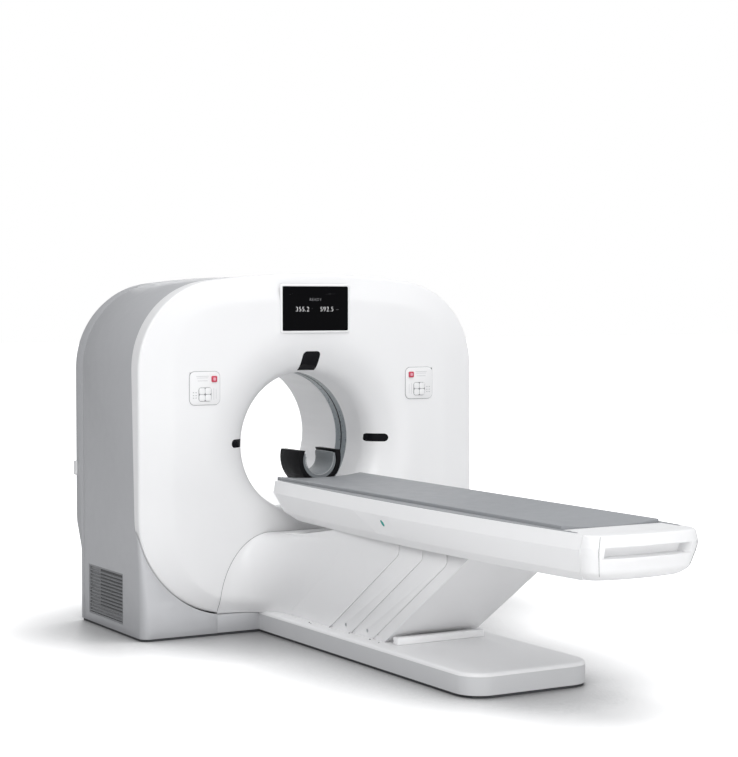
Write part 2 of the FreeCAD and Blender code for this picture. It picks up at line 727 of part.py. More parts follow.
def make_laser_windows():
    """Dark windows that close the three slots and follow the funnel a little below its surface."""
    recess = 1.5
    thick = 3
    edges, throat, behind = funnel_band(recess, recess + thick)
    film = ring_solid(edges + [line(behind, throat)])
    for side in ("left", "right"):
        shaped(f"laser_window_{side}", film.common(laser_slot(side, 0.3)))
    shaped("laser_window_top", film.common(top_laser_slot(0.3)))


def make_control_panels():
    front = -size.cover_face - size.panel_thick
    for side in ("left", "right"):
        panel = panel_blank(side, 0, front, -size.cover_face)
        panel = panel.cut(button_bar(side, size.button_gap, front - 1, -size.cover_face + 1))
        panel = panel.cut(pad_blank(side, size.button_gap, front - 1, -size.cover_face + 1))
        shaped(f"control_panel_{side}", panel)
        x, z = button_spot(side)
        reach = cell.cover_face + cell.panel_thick + cell.button_proud
        button = drum(f"stop_button_{side}", cell.stop_button_radius, x, (-reach, -reach + 14), z)
        keep(f"stop_button_{side}", button)
        pad_front = front - size.pad_proud
        shaped(f"key_pad_{side}", pad_blank(side, 0, pad_front, pad_front + 10))


def skirt_front(z):
    """How far ahead of the scan plane the skirt stands at a height: it sweeps back in an S to the seam."""
    low, high = 110.0, size.skirt_top
    share = min(1.0, max(0.0, (z - low) / (high - low)))
    ease = share**1.6 * (1 + 0.6 * (1 - share)) / (1 + 0.6 * (1 - share) * share)
    seam = size.seam_front + 0.04 * (size.iso_height - size.skirt_top)
    return size.base_front + (seam - size.base_front) * min(1.0, ease)


def skirt_section(z, inset, rear):
    """The plan outline of the lower gantry at one height."""
    half = size.gantry_half_width - inset
    share = max(0.0, 1 - (z - size.floor_gap) / (size.skirt_top - size.floor_gap))
    corner = 4 + (size.skirt_corner - 4) * share
    front = -skirt_front(z) + inset
    corners = [(Vector(-half, rear, z), 0), (Vector(half, rear, z), 0)]
    if inset:
        chamfer = max(0.5, (corner - inset) * (2 - math.sqrt(2)))
        corners += [(Vector(half, front + chamfer, z), 0), (Vector(half - chamfer, front, z), 0)]
        corners += [(Vector(-half + chamfer, front, z), 0), (Vector(-half, front + chamfer, z), 0)]
    else:
        corners += [(Vector(half, front, z), corner), (Vector(-half, front, z), corner)]
    return rounded_path(corners)


def gantry_block(inset, rear):
    """The lower gantry with its swept skirt and the round-topped upper gantry, as one block."""
    levels = 5
    heights = [size.floor_gap + (size.skirt_top - size.floor_gap) * step / levels for step in range(levels + 1)]
    low = Part.makeLoft([skirt_section(z, inset, rear) for z in heights], True, bool(inset))
    if inset:
        low = low.fuse(slab(skirt_section(size.floor_gap, inset, rear), Vector(0, 0, -size.floor_gap)))
    upper = slab(body_outline(-size.base_front, inset), Vector(0, rear + size.base_front, 0))
    above = box_between((-2 * size.gantry_half_width, 2 * size.gantry_half_width),
                        (-2 * size.base_front, 2 * size.rear_bulge), (size.skirt_top, 2 * size.gantry_top))
    return low.fuse(upper.common(above).common(behind_seam(size.seam_gap / 2)))


def grille_opening(side, depth):
    sign = side_sign(side)
    outer = sign * (size.gantry_half_width + 1)
    inner = sign * (size.gantry_half_width - depth)
    return box_between((min(outer, inner), max(outer, inner)), (-size.grille_front, size.grille_rear),
                       (size.grille_bottom, size.grille_top))


def make_side_covers():
    outer = gantry_block(0, size.rear_seam)
    inner = gantry_block(size.body_wall, size.rear_seam + 10)
    gap = -1.5 * size.seam_gap
    front_zone = slab(cover_outline(-size.base_front - 10, gap, gap, gap),
                      Vector(0, size.base_front, 0)).cut(behind_seam(size.seam_gap / 2))
    shell = outer.cut(front_zone).cut(inner)
    below_cover = box_between((-size.skirt_half_width, size.skirt_half_width), (-size.base_front - 10, 0),
                              (0, size.cover_bottom + size.cover_bottom_corner))
    behind_cover = box_between((-size.mouth_clear, size.mouth_clear), (-size.base_front, 0),
                               (size.cover_bottom + 200, size.skirt_top + 1))
    shell = shell.cut(below_cover).cut(behind_cover)
    for side in ("left", "right"):
        sign = side_sign(side)
        near, far = sign * size.seam_gap / 2, sign * 2 * size.gantry_half_width
        half = box_between((min(near, far), max(near, far)), (-2 * size.base_front, 2 * size.rear_bulge),
                           (0, 2 * size.gantry_top))
        shaped(f"side_cover_{side}", shell.common(half).cut(grille_opening(side, 60)))


def make_grilles():
    """A pressed frame with sloping louvres in each side cover's air opening."""
    rim = 8
    sink = 2
    louvre_depth = 14
    for side in ("left", "right"):
        sign = side_sign(side)
        face = sign * (size.gantry_half_width - sink)
        back = face - sign * louvre_depth
        low, high = size.grille_bottom + 0.4, size.grille_top - 0.4
        front, rear = -size.grille_front + 0.4, size.grille_rear - 0.4
        frame = box_between((min(face, back), max(face, back)), (front, rear), (low, high))
        hole = box_between((min(face, back) - 1, max(face, back) + 1), (front + rim, rear - rim),
                           (low + rim, high - rim))
        frame = frame.cut(hole)
        count = int((high - low - 2 * rim) / size.louvre_pitch)
        for number in range(count):
            z = low + rim + size.louvre_pitch * (number + 0.5)
            corners = [Vector(face, front, z - 3), Vector(face, front, z - 1), Vector(back, front, z + 5),
                       Vector(back, front, z + 3)]
            frame = frame.fuse(slab(Part.makePolygon(corners + corners[:1]), Vector(0, rear - front, 0)))
        shaped(f"side_grille_{side}", frame)


def rear_profile(inset):
    """The rear cover from the side: upright foot, S-curve out to the bulge, rounded top edge."""
    seam = size.rear_seam + size.seam_gap - inset
    foot, bulge = size.rear_foot - inset, size.rear_bulge - inset
    low = size.floor_gap if inset == 0 else 0
    top = 2 * size.gantry_top
    points = [(Vector(0, seam, low), 0), (Vector(0, foot, low), 0), (Vector(0, foot, 370), 110)]
    points += [(Vector(0, bulge, 570), 190), (Vector(0, bulge, top), 0), (Vector(0, seam, top), 0)]
    return rounded_path(points)


def rear_form(inset):
    half = size.gantry_half_width - inset
    side = slab(rear_profile(inset), Vector(2 * half, 0, 0))
    side.translate(Vector(-half, 0, 0))
    edge = size.rear_edge
    start = size.rear_seam - inset
    sections = [body_outline(start, inset)]
    for angle in (0, 30, 60, 90) if inset == 0 else (0, 90):
        turn = math.radians(angle)
        y = size.rear_bulge - inset - edge * (1 - math.sin(turn))
        sections.append(body_outline(y, inset + edge * (1 - math.cos(turn))))
    form = solid_between(sections)
    if inset:
        form = form.fuse(box_between((-half, half), (start, size.rear_foot - inset), (0, size.iso_height)))
    return form.common(side)


def make_rear_cover():
    """The rear cover with its own short funnel, which lines the bore from the scan window backwards."""
    wall = size.body_wall
    shell = rear_form(0).cut(rear_form(wall))
    bore, mouth, bulge = size.bore_radius, size.rear_mouth, size.rear_bulge
    throat = size.window_rear + size.seat
    lip = (mouth - bore) / 2
    taper = mouth - bore - lip
    mouth_plug = Part.makeCylinder(mouth, 3 * wall, Vector(0, bulge - 2 * wall, size.iso_height), Vector(0, 1, 0))
    centre = Vector(mouth, bulge - lip)
    ways = [Vector(-1, 0), Vector(-1, 1).normalize(), Vector(0, 1)]
    lip_edge = [centre + way * lip for way in ways]
    lip_back = [centre + way * (lip - wall) for way in ways]
    edges = [line(Vector(bore, throat), lip_edge[0])] + chords(lip_edge, 3) + [line(lip_edge[2], lip_back[2])]
    edges += chords(lip_back[::-1]) + [line(lip_back[0], Vector(bore + wall, throat))]
    edges.append(line(Vector(bore + wall, throat), Vector(bore, throat)))
    cover = shell.cut(mouth_plug).fuse(ring_solid(edges))
    shaped("rear_cover", cover)


def make_scan_window():
    """The grey band round the bore with its dark slit, through which the beam passes."""
    band, slit = cell.window_band_wall, cell.window_slit / 2
    groove = 3
    outside = cell.bore_radius + band
    points = [(cell.bore_radius, -cell.window_front), (outside, -cell.window_front)]
    points += [(outside, cell.window_rear), (cell.bore_radius, cell.window_rear)]
    points += [(cell.bore_radius, slit), (cell.bore_radius + groove, slit)]
    points += [(cell.bore_radius + groove, -slit), (cell.bore_radius, -slit)]
    turned("scan_window_band", points)


# ---------------------------------------------------------------------------------------------------------
# Gantry frame, rotor and drive
# ---------------------------------------------------------------------------------------------------------


def make_gantry_base():
    """The steel plate on the floor: the dark line under the covers, with four anchor holes."""
    half = cell.gantry_half_width - cell.plinth_inset
    front = -cell.base_front + cell.plinth_inset
    rear = cell.rear_foot - cell.plinth_inset
    body, sketch, pad = extruded("gantry_base_plate", "XY_Plane", cell.frame_plate * 0, cell.frame_plate)
    cut = (cell.skirt_corner - cell.plinth_inset) * 0.62
    polygon(sketch, [(-half, front + cut), (-half + cut, front), (half - cut, front), (half, front + cut),
                     (half, rear), (-half, rear)])
    drill(body, [(x * cell.gantry_anchor_x / 2, y * cell.gantry_anchor_y / 2) for x in (-1, 1) for y in (-1, 1)],
          cell.anchor_radius)


def drill(body, spots, radius):
    """Round holes right through a floor plate."""
    sketch = new_sketch(body, "XY_Plane")
    for x, y in spots:
        circle(sketch, x, y, radius)
    feature(body, "Pocket", sketch, Type="ThroughAll", Midplane=True)


def bearing_span():
    """The main bearing's Y range: it sits on the rear face of the rotor disc."""
    front = cell.disc_front + cell.disc_thick
    return front, front + cell.bearing_width


def make_stator_frame():
    """Two upright posts on the base plate that carry the ring plate of the main bearing."""
    front, rear = bearing_span()
    plate_thick = 22
    plate_outer = 660
    centre = cell.iso_height
    ring = [drum("ring_plate", plate_outer, 0, (rear, rear + plate_thick), centre)]
    for name, sign in (("left", -1), ("right", 1)):
        low, high = sign * cell.post_inner, sign * cell.post_outer
        x = (high, low) if sign < 0 else (low, high)
        ring.append(block(f"post_{name}", x, (rear, rear + cell.post_depth), (cell.frame_plate, cell.post_top)))
        inner = sign * (cell.bearing_inner - 40)
        reach = (low, inner) if sign < 0 else (inner, low)
        for level, z in (("low", centre - cell.cross_arm_drop), ("high", centre + cell.cross_arm_rise)):
            ring.append(block(f"arm_{name}_{level}", reach, (rear, rear + plate_thick * 2), (z, z + 80)))
    frame = joined("stator_blank", ring)
    opening = drum("ring_plate_opening", cell.bearing_inner + 20, 0, (rear - 1, rear + plate_thick * 2 + 1), centre)
    keep("stator_frame", carved("stator_frame", frame, [opening]))


def make_main_bearing():
    front, rear = bearing_span()
    inner_face = cell.bearing_split - cell.running_clearance
    relief = 1.5
    turned("bearing_inner_ring", [(cell.bearing_inner, front), (inner_face, front),
                                  (inner_face, rear - relief), (cell.bearing_inner, rear - relief)])
    turned("bearing_outer_ring", [(cell.bearing_split, front + relief), (cell.bearing_outer, front + relief),
                                  (cell.bearing_outer, rear), (cell.bearing_split, rear)])


def make_rotor_disc():
    """The turning disc with its lightening holes."""
    front, rear = cell.disc_front, cell.disc_front + cell.disc_thick
    body = turned("rotor_disc", [(cell.disc_inner, front), (cell.disc_outer, front), (cell.disc_outer, rear),
                                 (cell.disc_inner, rear)])
    sketch = new_sketch(body, "XZ_Plane")
    circle(sketch, cell.bearing_outer + 60, 0, 34)
    pocket = feature(body, "Pocket", sketch, Type="ThroughAll", Midplane=True)
    pattern = body.newObject("PartDesign::PolarPattern", "holes")
    pattern.Originals = [pocket]
    pattern.Axis = (origin_axis(body, "Y_Axis"), [""])
    pattern.Angle = 360
    pattern.Occurrences = 6
    body.Tip = pattern


def origin_axis(body, role):
    return next(item for item in body.Origin.OriginFeatures if item.Role == role)


def make_xray_tube():
    """The tube housing above the bore: a barrel with stepped ends and its port towards the isocentre."""
    rear = cell.disc_front
    front = rear - cell.tube_length
    centre = cell.iso_height + cell.tube_orbit
    end = 26
    barrel = drum("tube_barrel", cell.tube_radius, 0, (front + end, rear - end), centre)
    nose = drum("tube_nose", cell.tube_radius - 18, 0, (front, front + end), centre)
    tail = drum("tube_tail", cell.tube_radius - 18, 0, (rear - end, rear), centre)
    saddle = block("tube_saddle", (-cell.tube_radius, cell.tube_radius), (rear - end, rear),
                   (centre - cell.tube_radius + 16, centre))
    port = block("tube_port", (-34, 34), (-34, 34), (cell.iso_height + cell.collimator_high, centre))
    keep("xray_tube", joined("xray_tube", [barrel, nose, tail, saddle, port]))


def make_collimator():
    """The box of lead blades under the tube, with the slot that shapes the fan beam."""
    low, high = cell.iso_height + cell.collimator_low, cell.iso_height + cell.collimator_high
    box = block("collimator_box", (-cell.collimator_half, cell.collimator_half), (-46, cell.disc_front), (low + 22, high))
    slot = block("collimator_slot", (-cell.collimator_half * 0.8, cell.collimator_half * 0.8), (-6, 6),
                 (low - 1, high + 1))
    keep("collimator", carved("collimator", box, [slot]))


def sector(inner, outer, half_angle, front, rear, middle_angle):
    """Part of a ring round the bore axis, centred on an angle from +X towards +Z."""
    first, last = math.radians(middle_angle - half_angle), math.radians(middle_angle + half_angle)

    def spot(radius, angle):
        return Vector(radius * math.cos(angle), front, size.iso_height + radius * math.sin(angle))

    centre = (first + last) / 2
    edges = [arc(spot(inner, first), spot(inner, centre), spot(inner, last))]
    edges.append(line(spot(inner, last), spot(outer, last)))
    edges.append(arc(spot(outer, last), spot(outer, centre), spot(outer, first)))
    edges.append(line(spot(outer, first), spot(inner, first)))
    return slab(Part.Wire(edges), Vector(0, rear - front, 0))


def make_detector():
    """The curved detector housing below the bore, with a rank of modules along its inner face."""
    half = size.detector_half_width
    inner = size.detector_inner
    below = 270
    housing = sector(inner + 12, inner + size.detector_depth, size.detector_half_angle, -half, size.disc_front, below)
    modules = 14
    pitch = 2 * size.detector_half_angle / modules
    for number in range(int(modules)):
        angle = below - size.detector_half_angle + pitch * (number + 0.5)
        housing = housing.fuse(sector(inner, inner + 13, pitch * 0.46, -half + 12, half - 12, angle))
    shaped("detector_arc", housing)


def make_rotor_units():
    """Boxes that ride on the disc: high-voltage generator, oil cooler, data unit and balance weights."""
    rear = cell.disc_front
    half = 150
    inner, outer = 500, 700
    body, sketch, pad = extruded("hv_generator", "XZ_Plane", rear - 170, rear)
    polygon(sketch, [(inner + cell.iso_height * 0, cell.iso_height - half), (outer, cell.iso_height - half),
                     (outer, cell.iso_height + half), (inner, cell.iso_height + half)])
    body, sketch, pad = extruded("tube_cooler", "XZ_Plane", rear - 150, rear)
    polygon(sketch, [(-outer, cell.iso_height - half), (-inner, cell.iso_height - half),
                     (-inner, cell.iso_height + half), (-outer, cell.iso_height + half)])
    for name, middle in (("left", 215), ("right", 325)):
        shaped(f"balance_weight_{name}", sector(600, 740, 9, -10, size.disc_front, middle))


def make_slip_ring():
    """The contact ring on the back of the disc and the brush block that reaches it from the frame."""
    front = cell.disc_front + cell.disc_thick
    rear = front + cell.slip_width
    turned("slip_ring", [(cell.slip_inner, front), (cell.slip_outer, front), (cell.slip_outer, rear),
                         (cell.slip_inner, rear)])
    low = cell.slip_outer + 0.4
    block_box = block("brush_block_body", (-low - 60, -low), (front, rear + 8),
                      (cell.iso_height - 45, cell.iso_height + 45))
    bracket = block("brush_bracket", (-cell.post_inner, -low - 50), (rear + 2, rear + 8),
                    (cell.iso_height - 30, cell.iso_height + 30))
    keep("brush_block", joined("brush_block", [block_box, bracket]))


def make_drive():
    """The motor low on the right, its pulley and the belt round the rotor disc."""
    front = cell.disc_front
    rear = front + cell.disc_thick
    x, z = cell.pulley_x, cell.pulley_z
    wheel = drum("pulley_wheel", cell.pulley_radius, x, (front, rear), z)
    shaft = drum("pulley_shaft", 14, x, (rear, rear + 8), z)
    keep("motor_pulley", joined("motor_pulley", [wheel, shaft]))
    motor = drum("motor_can", 62, x, (rear + 8, rear + 150), z)
    foot = block("motor_foot", (x - 60, x + 60), (rear + 20, rear + 140), (cell.frame_plate, z))
    keep("drive_motor", joined("drive_motor", [motor, foot]))
    shaped("drive_belt", belt_loop())


def belt_loop():
    """An open belt: two tangent runs and the arcs round disc and pulley."""
    big = size.disc_outer + size.belt_gap
    small = size.pulley_radius + size.belt_gap
    centre = Vector(0, 0, size.iso_height)
    wheel = Vector(size.pulley_x, 0, size.pulley_z)
    width_low = size.disc_front + (size.disc_thick - size.belt_width) / 2

    def loop(grow):
        way = wheel - centre
        distance = way.Length
        heading = math.atan2(way.z, way.x)
        wrap = math.acos((big - small) / distance)
        corners = []
        for middle, radius, side in ((centre, big, 1), (wheel, small, 1), (wheel, small, -1), (centre, big, -1)):
            angle = heading + side * wrap
            corners.append(middle + Vector(math.cos(angle), 0, math.sin(angle)) * (radius + grow))
        far = centre - way.normalize() * (big + grow)
        near = wheel + way * (small + grow)
        return Part.Wire([line(corners[0], corners[1]), arc(corners[1], near, corners[2]),
                          line(corners[2], corners[3]), arc(corners[3], far, corners[0])])

    band = slab(loop(size.belt_thick), Vector(0, size.belt_width, 0))
    band = band.cut(slab(loop(0), Vector(0, size.belt_width, 0)))
    band.translate(Vector(0, width_low, 0))
    return band


def make_power_cabinet():
    """The power distribution box on the gantry's base, behind the left grille."""
    cabinet = block("power_cabinet", (-cell.post_inner + 20, -560), (100, 330), (cell.frame_plate, 330))
    keep("power_cabinet", cabinet)


# ---------------------------------------------------------------------------------------------------------
# Table pedestal
# ---------------------------------------------------------------------------------------------------------


def slope():
    return math.tan(math.radians(size.lift_angle))


def flare(start, corner, end, hidden):
    """A hollow quarter ellipse, or on the hidden side the line that touches its middle."""
    if not hidden:
        return [quarter(start, corner, end)]
    share = 2 - math.sqrt(2)
    first, last = corner + (start - corner) * share, corner + (end - corner) * share
    return [line(start, first), line(first, last), line(last, end)]


def flare_section(z, inset, end):
    """The transition cover's plan at one height: hollow flares that run from the gantry into the sides."""
    share = min(1.0, (z - size.cover_bottom) / (size.arch_top - size.cover_bottom))
    pedestal = size.pedestal_half_width - inset
    wide = pedestal + max(1.5, (size.arch_half_width - size.pedestal_half_width) * math.sqrt(max(0, 1 - share**2)))
    face = -size.cover_face + 14 * (inset > 0)
    fold = -size.flare_foot - (z - size.cover_bottom) / slope()
    right = [Vector(wide, face, z), Vector(pedestal, face, z), Vector(pedestal, fold, z)]
    left = [Vector(-point.x, point.y, z) for point in reversed(right)]
    right, left = flare(*right, inset), flare(*left, inset)
    edges = [line(Vector(-wide, face, z), Vector(wide, face, z))] + right
    edges.append(line(Vector(pedestal, fold, z), Vector(pedestal, end, z)))
    edges.append(line(Vector(pedestal, end, z), Vector(-pedestal, end, z)))
    edges.append(line(Vector(-pedestal, end, z), Vector(-pedestal, fold, z)))
    return Part.Wire(edges + left)


def edge_line(base_y):
    """The points of a side cover's foot edge: down-slope foot, bend and hidden top."""
    bend_y = base_y - (size.bend_height - size.base_top) / slope()
    foot_y = base_y + (size.base_top - size.plate_foot) / slope()
    return foot_y, bend_y


def pedestal_block(inset):
    """The fixed part of the pedestal as a block: the flared transition and the first side covers."""
    end = -size.sloped_face - size.arm_length
    shares = (0.0, 0.6, 1.0) if inset else (0.0, 0.55, 0.88, 1.0)
    rise = size.arch_top - size.cover_bottom
    low = solid_between([flare_section(size.cover_bottom + rise * share, inset, end) for share in shares])
    half = size.pedestal_half_width - inset
    face = -size.cover_face + 14 * (inset > 0)
    drop = inset
    deck = [(Vector(-half, face, size.arch_top - 1 - drop), 0)]
    deck.append((Vector(-half, face, size.arch_top - drop), 0))
    deck.append((Vector(-half, -size.cover_face - 260, size.arch_top + 14 - drop), 900))
    deck.append((Vector(-half, -size.deck_end, size.deck_end_height - drop), 0))
    deck.append((Vector(-half, end, size.deck_end_height - drop + (300 if inset else 3)), 0))
    deck.append((Vector(-half, end, size.arch_top - 1 - drop), 0))
    return low.fuse(slab(rounded_path(deck), Vector(2 * half, 0, 0)))


def gantry_side_of(base_y, low, high):
    """Everything on the gantry's side of a cover edge."""
    bend_y = edge_line(base_y)[1]
    foot_y = base_y + (size.base_top - low) / slope()
    reach = size.gantry_half_width
    corners = [(Vector(-reach, size.cover_face, low), 0), (Vector(-reach, foot_y, low), 0)]
    corners.append((Vector(-reach, bend_y, size.bend_height), size.bend_radius))
    corners += [(Vector(-reach, bend_y, high), 0), (Vector(-reach, size.cover_face, high), 0)]
    return slab(rounded_path(corners), Vector(2 * reach, 0, 0))


def make_transition_cover():
    """The fixed moulding that flares out of the front cover, with deck and first pair of side covers."""
    outer = pedestal_block(0)
    inner = pedestal_block(size.pedestal_wall)
    inner = inner.fuse(box_between((-size.pedestal_half_width + size.pedestal_wall,
                                    size.pedestal_half_width - size.pedestal_wall),
                                   (-size.sloped_face - size.arm_length, -size.deck_end),
                                   (0, size.plate_top)))
    underside = slab(flare_section(size.cover_bottom, size.pedestal_wall, -size.sloped_face - size.arm_length),
                     Vector(0, 0, -size.cover_bottom))
    cover = outer.cut(inner).cut(underside)
    cover = cover.common(gantry_side_of(-size.first_edge, size.cover_bottom, size.plate_top))
    over_base = box_between((-size.base_half_width - 1, size.base_half_width + 1), (-size.base_end, 0),
                            (0, size.base_top + size.seat))
    shaped("transition_cover", cover.cut(over_base))


def hinge_spot(edge, inset):
    return -edge + inset


def plate_form(edge, foot_reach, top_reach, half_width, straight=False):
    """A side cover pair as a block: its foot edge, and how far it reaches back under its neighbour."""
    foot_y, bend_y = edge_line(-edge)
    low, high = size.plate_foot, size.sloped_top if straight else size.plate_top
    if straight:
        bend_y = -edge - (high - size.base_top) / slope()
        corners = [(Vector(-half_width, foot_y, low), 0), (Vector(-half_width, bend_y, high), 0)]
    else:
        corners = [(Vector(-half_width, foot_y, low), 0)]
        corners.append((Vector(-half_width, bend_y, size.bend_height), size.bend_radius))
        corners.append((Vector(-half_width, bend_y, high), 0))
    corners.append((Vector(-half_width, bend_y + top_reach, high), 0))
    corners.append((Vector(-half_width, foot_y + foot_reach, low), 0))
    return slab(rounded_path(corners), Vector(2 * half_width, 0, 0))


def hinge_bore(y):
    reach = size.pedestal_half_width
    return Part.makeCylinder(size.hinge_pin_radius + size.running_clearance, 2 * reach,
                             Vector(-reach, y, size.pivot_height), Vector(1, 0, 0))


def plate_edges():
    """The moving side covers: name, edge at the base, reach at foot and top, place in the nest, hinge inset."""
    second = size.first_edge + size.edge_pitch
    third = second + size.edge_pitch
    return [("side_plate_2", second, 205, 480, 1, size.hinge_inset),
            ("side_plate_3", third, 195, 340, 2, size.hinge_inset),
            ("sloped_plate", size.sloped_face, 112, 470, 3, size.hinge_inset + 15)]


def make_side_plates():
    """Three nested pairs of side covers that swing with the lift arms; the last carries the sloped face."""
    wall = size.pedestal_wall
    face_wall = wall / math.sin(math.radians(size.lift_angle))
    for name, edge, foot_reach, top_reach, nest, inset in plate_edges():
        half = size.pedestal_half_width - size.nest_step * nest
        last = nest == 3
        outer = plate_form(edge, foot_reach, top_reach, half, straight=last)
        core = box_between((-half + wall, half - wall), (-size.shell_foot, 0), (0, size.shell_top))
        if last:
            core = core.common(plate_form(edge - face_wall, size.deck_end, size.deck_end, half, straight=True))
        plate = outer.cut(core).cut(hinge_bore(hinge_spot(edge, inset)))
        if last:
            shaped(name, plate)
            continue
        for side in ("left", "right"):
            reach = side_sign(side) * size.gantry_half_width
            beside = box_between((min(0, reach), max(0, reach)), (-size.shell_foot, 0), (0, size.shell_top))
            shaped(f"{name}_{side}", plate.common(beside))


def make_hinge_pins():
    """Six short pins on the ears of the base frame, one for each moving side cover."""
    pins = []
    for name, edge, foot_reach, top_reach, nest, inset in plate_edges():
        outer = size.pedestal_half_width - size.nest_step * nest
        y = hinge_spot(edge, inset)
        for sign in (-1, 1):
            start = Vector(sign * size.ear_outer, y, size.pivot_height)
            pins.append(Part.makeCylinder(size.hinge_pin_radius, outer - size.ear_outer, start, Vector(sign, 0, 0)))
    shaped("plate_hinge_pins", Part.makeCompound(pins))


# ---------------------------------------------------------------------------------------------------------
# Table base and lift
# ---------------------------------------------------------------------------------------------------------


def base_plan(inset, z, front):
    """The table base's plan outline with its two round foot corners."""
    half = size.base_half_width - inset
    end = -size.base_end + inset
    corner = size.base_corner - inset
    corners = [(Vector(-half, front, z), 0), (Vector(-half, end, z), corner)]
    corners += [(Vector(half, end, z), corner), (Vector(half, front, z), 0)]
    return rounded_path(corners)


def make_base_cover():
    """The low white cover of the table base, open under the pedestal, with the two centre skirts."""
    edge, wall = size.base_round, size.base_wall
    front = -size.base_front + wall
    sections = [base_plan(0, size.floor_gap, front)]
    for angle in (0, 30, 60, 90):
        turn = math.radians(angle)
        z = size.base_top - edge * (1 - math.sin(turn))
        sections.append(base_plan(edge * (1 - math.cos(turn)), z, front))
    outer = solid_between(sections)
    inner = slab(base_plan(wall, 0, front + 10), Vector(0, 0, size.base_top - wall))
    cover = outer.cut(inner)
    well_half = size.pedestal_half_width - size.pedestal_wall
    well = box_between((-well_half, well_half), (-size.sloped_face - 12, front + 10), (0, 2 * size.base_top))
    cover = cover.cut(well)
    for sign in (-1, 1):
        near, far = sign * (size.base_half_width - wall), sign * size.skirt_half_width
        wing = box_between((min(near, far), max(near, far)), (-size.base_front, -size.base_front + wall),
                           (size.floor_gap, size.cover_bottom - size.seam_gap))
        cover = cover.fuse(wing)
    shaped("table_base_cover", cover)


def make_hinge_rail():
    """The raised bar across the base at the foot of the sloped face."""
    half = cell.pedestal_half_width - 20
    front = -cell.sloped_face - 70
    rail = block("foot_rail", (-half, half), (front - 38, front), (cell.base_top, cell.base_top + 34))
    keep("foot_rail", rail)


def make_base_frame():
    """The table's steel base: floor plate, two rails, ears for the side covers and cheeks for the shafts."""
    inset = cell.base_wall + cell.seat
    half = cell.base_half_width - inset
    front = -cell.base_front + cell.plinth_inset - cell.seat
    end = -cell.base_end + inset
    turn = cell.base_corner - inset
    corner = [(turn * (1 - math.cos(angle)), turn * (1 - math.sin(angle))) for angle in (0, math.pi / 4, math.pi / 2)]
    left = [(-half + x, end + y) for x, y in corner]
    right = [(half - x, end + y) for x, y in reversed(corner)]
    body, sketch, pad = extruded("table_base_frame", "XY_Plane", cell.frame_plate * 0, cell.frame_plate)
    polygon(sketch, [(-half, front)] + left + right + [(half, front)])
    drill(body, [(x * cell.table_anchor_x / 2, -cell.table_anchor_centre_y + y * cell.table_anchor_y / 2)
                 for x in (-1, 1) for y in (-1, 1)], cell.anchor_radius)
    for sign in (-1, 1):
        ear(body, sign, cell.ear_inner, cell.ear_outer, ear_outline())
        ear(body, sign, cell.arm_half_width + 6, cell.arm_half_width + 24, cheek_outline())
    sketch = new_sketch(body, "YZ_Plane")
    for pivot in (cell.front_arm_pivot, cell.rear_arm_pivot):
        circle(sketch, -pivot, cell.pivot_height, cell.shaft_radius + cell.running_clearance)
    feature(body, "Pocket", sketch, Type="ThroughAll", Midplane=True)


def ear(body, sign, inner, outer, outline):
    """An upright plate on the frame, from its side view."""
    offset = inner if sign > 0 else -outer
    sketch = new_sketch(body, "YZ_Plane", offset)
    polygon(sketch, outline)
    feature(body, "Pad", sketch, Length=outer - inner)


def ear_outline():
    low, high = cell.frame_plate - 1, cell.pivot_height + 18
    first = -cell.first_edge - cell.edge_pitch + cell.hinge_inset + 22
    last = -cell.sloped_face + cell.hinge_inset + 15 - 14
    return [(first, low), (first, high), (last, high), (last, low)]


def cheek_outline():
    low, high = cell.frame_plate - 1, cell.pivot_height + 30
    return [(-cell.rear_arm_pivot + 40, low), (-cell.rear_arm_pivot + 40, high),
            (-cell.front_arm_pivot - 40, high), (-cell.front_arm_pivot - 40, low)]


def arm_top(pivot):
    """The upper pivot of an arm, from its base pivot."""
    lean = math.radians(size.lift_angle)
    return -pivot - size.arm_length * math.cos(lean), size.pivot_height + size.arm_length * math.sin(lean)


def bar_along(radius, half_length, y, z):
    return Part.makeCylinder(radius, 2 * half_length, Vector(-half_length, y, z), Vector(1, 0, 0))


def make_lift_arms():
    """Each arm is a frame of two bars with hub tubes at both ends and a stiffening tube between."""
    half, bar, depth = size.arm_half_width, size.arm_bar, size.arm_depth
    lean = size.lift_angle
    for name, pivot, extra in (("lift_arm_foot_side", size.front_arm_pivot, 0.0),
                               ("lift_arm_gantry_side", size.rear_arm_pivot, size.open_pivot_clearance)):
        frame = None
        for sign in (-1, 1):
            low = min(sign * half, sign * (half - bar))
            side = Part.makeBox(bar, size.arm_length, depth, Vector(low, -size.arm_length, -depth / 2))
            frame = side if frame is None else frame.fuse(side)
        frame = frame.fuse(bar_along(size.hub_radius, half, 0, 0))
        frame = frame.fuse(bar_along(size.hub_radius, half, -size.arm_length, 0))
        frame = frame.fuse(bar_along(18, half - bar / 2, -size.arm_length / 2, 0))
        lower = size.shaft_radius + size.running_clearance
        frame = frame.cut(bar_along(lower, half + 1, 0, 0))
        frame = frame.cut(bar_along(lower + extra, half + 1, -size.arm_length, 0))
        frame.rotate(Vector(), Vector(1, 0, 0), -lean)
        frame.translate(Vector(0, -pivot, size.pivot_height))
        shaped(name, frame)


def make_shafts():
    """The four shafts of the lift: two held by the base frame and two by the carrier."""
    reach = size.arm_half_width + 24
    low = [bar_along(size.shaft_radius, reach, -pivot, size.pivot_height)
           for pivot in (size.front_arm_pivot, size.rear_arm_pivot)]
    shaped("base_shafts", Part.makeCompound(low))
    high = [bar_along(size.shaft_radius, reach, *arm_top(pivot))
            for pivot in (size.front_arm_pivot, size.rear_arm_pivot)]
    shaped("carrier_shafts", Part.makeCompound(high))


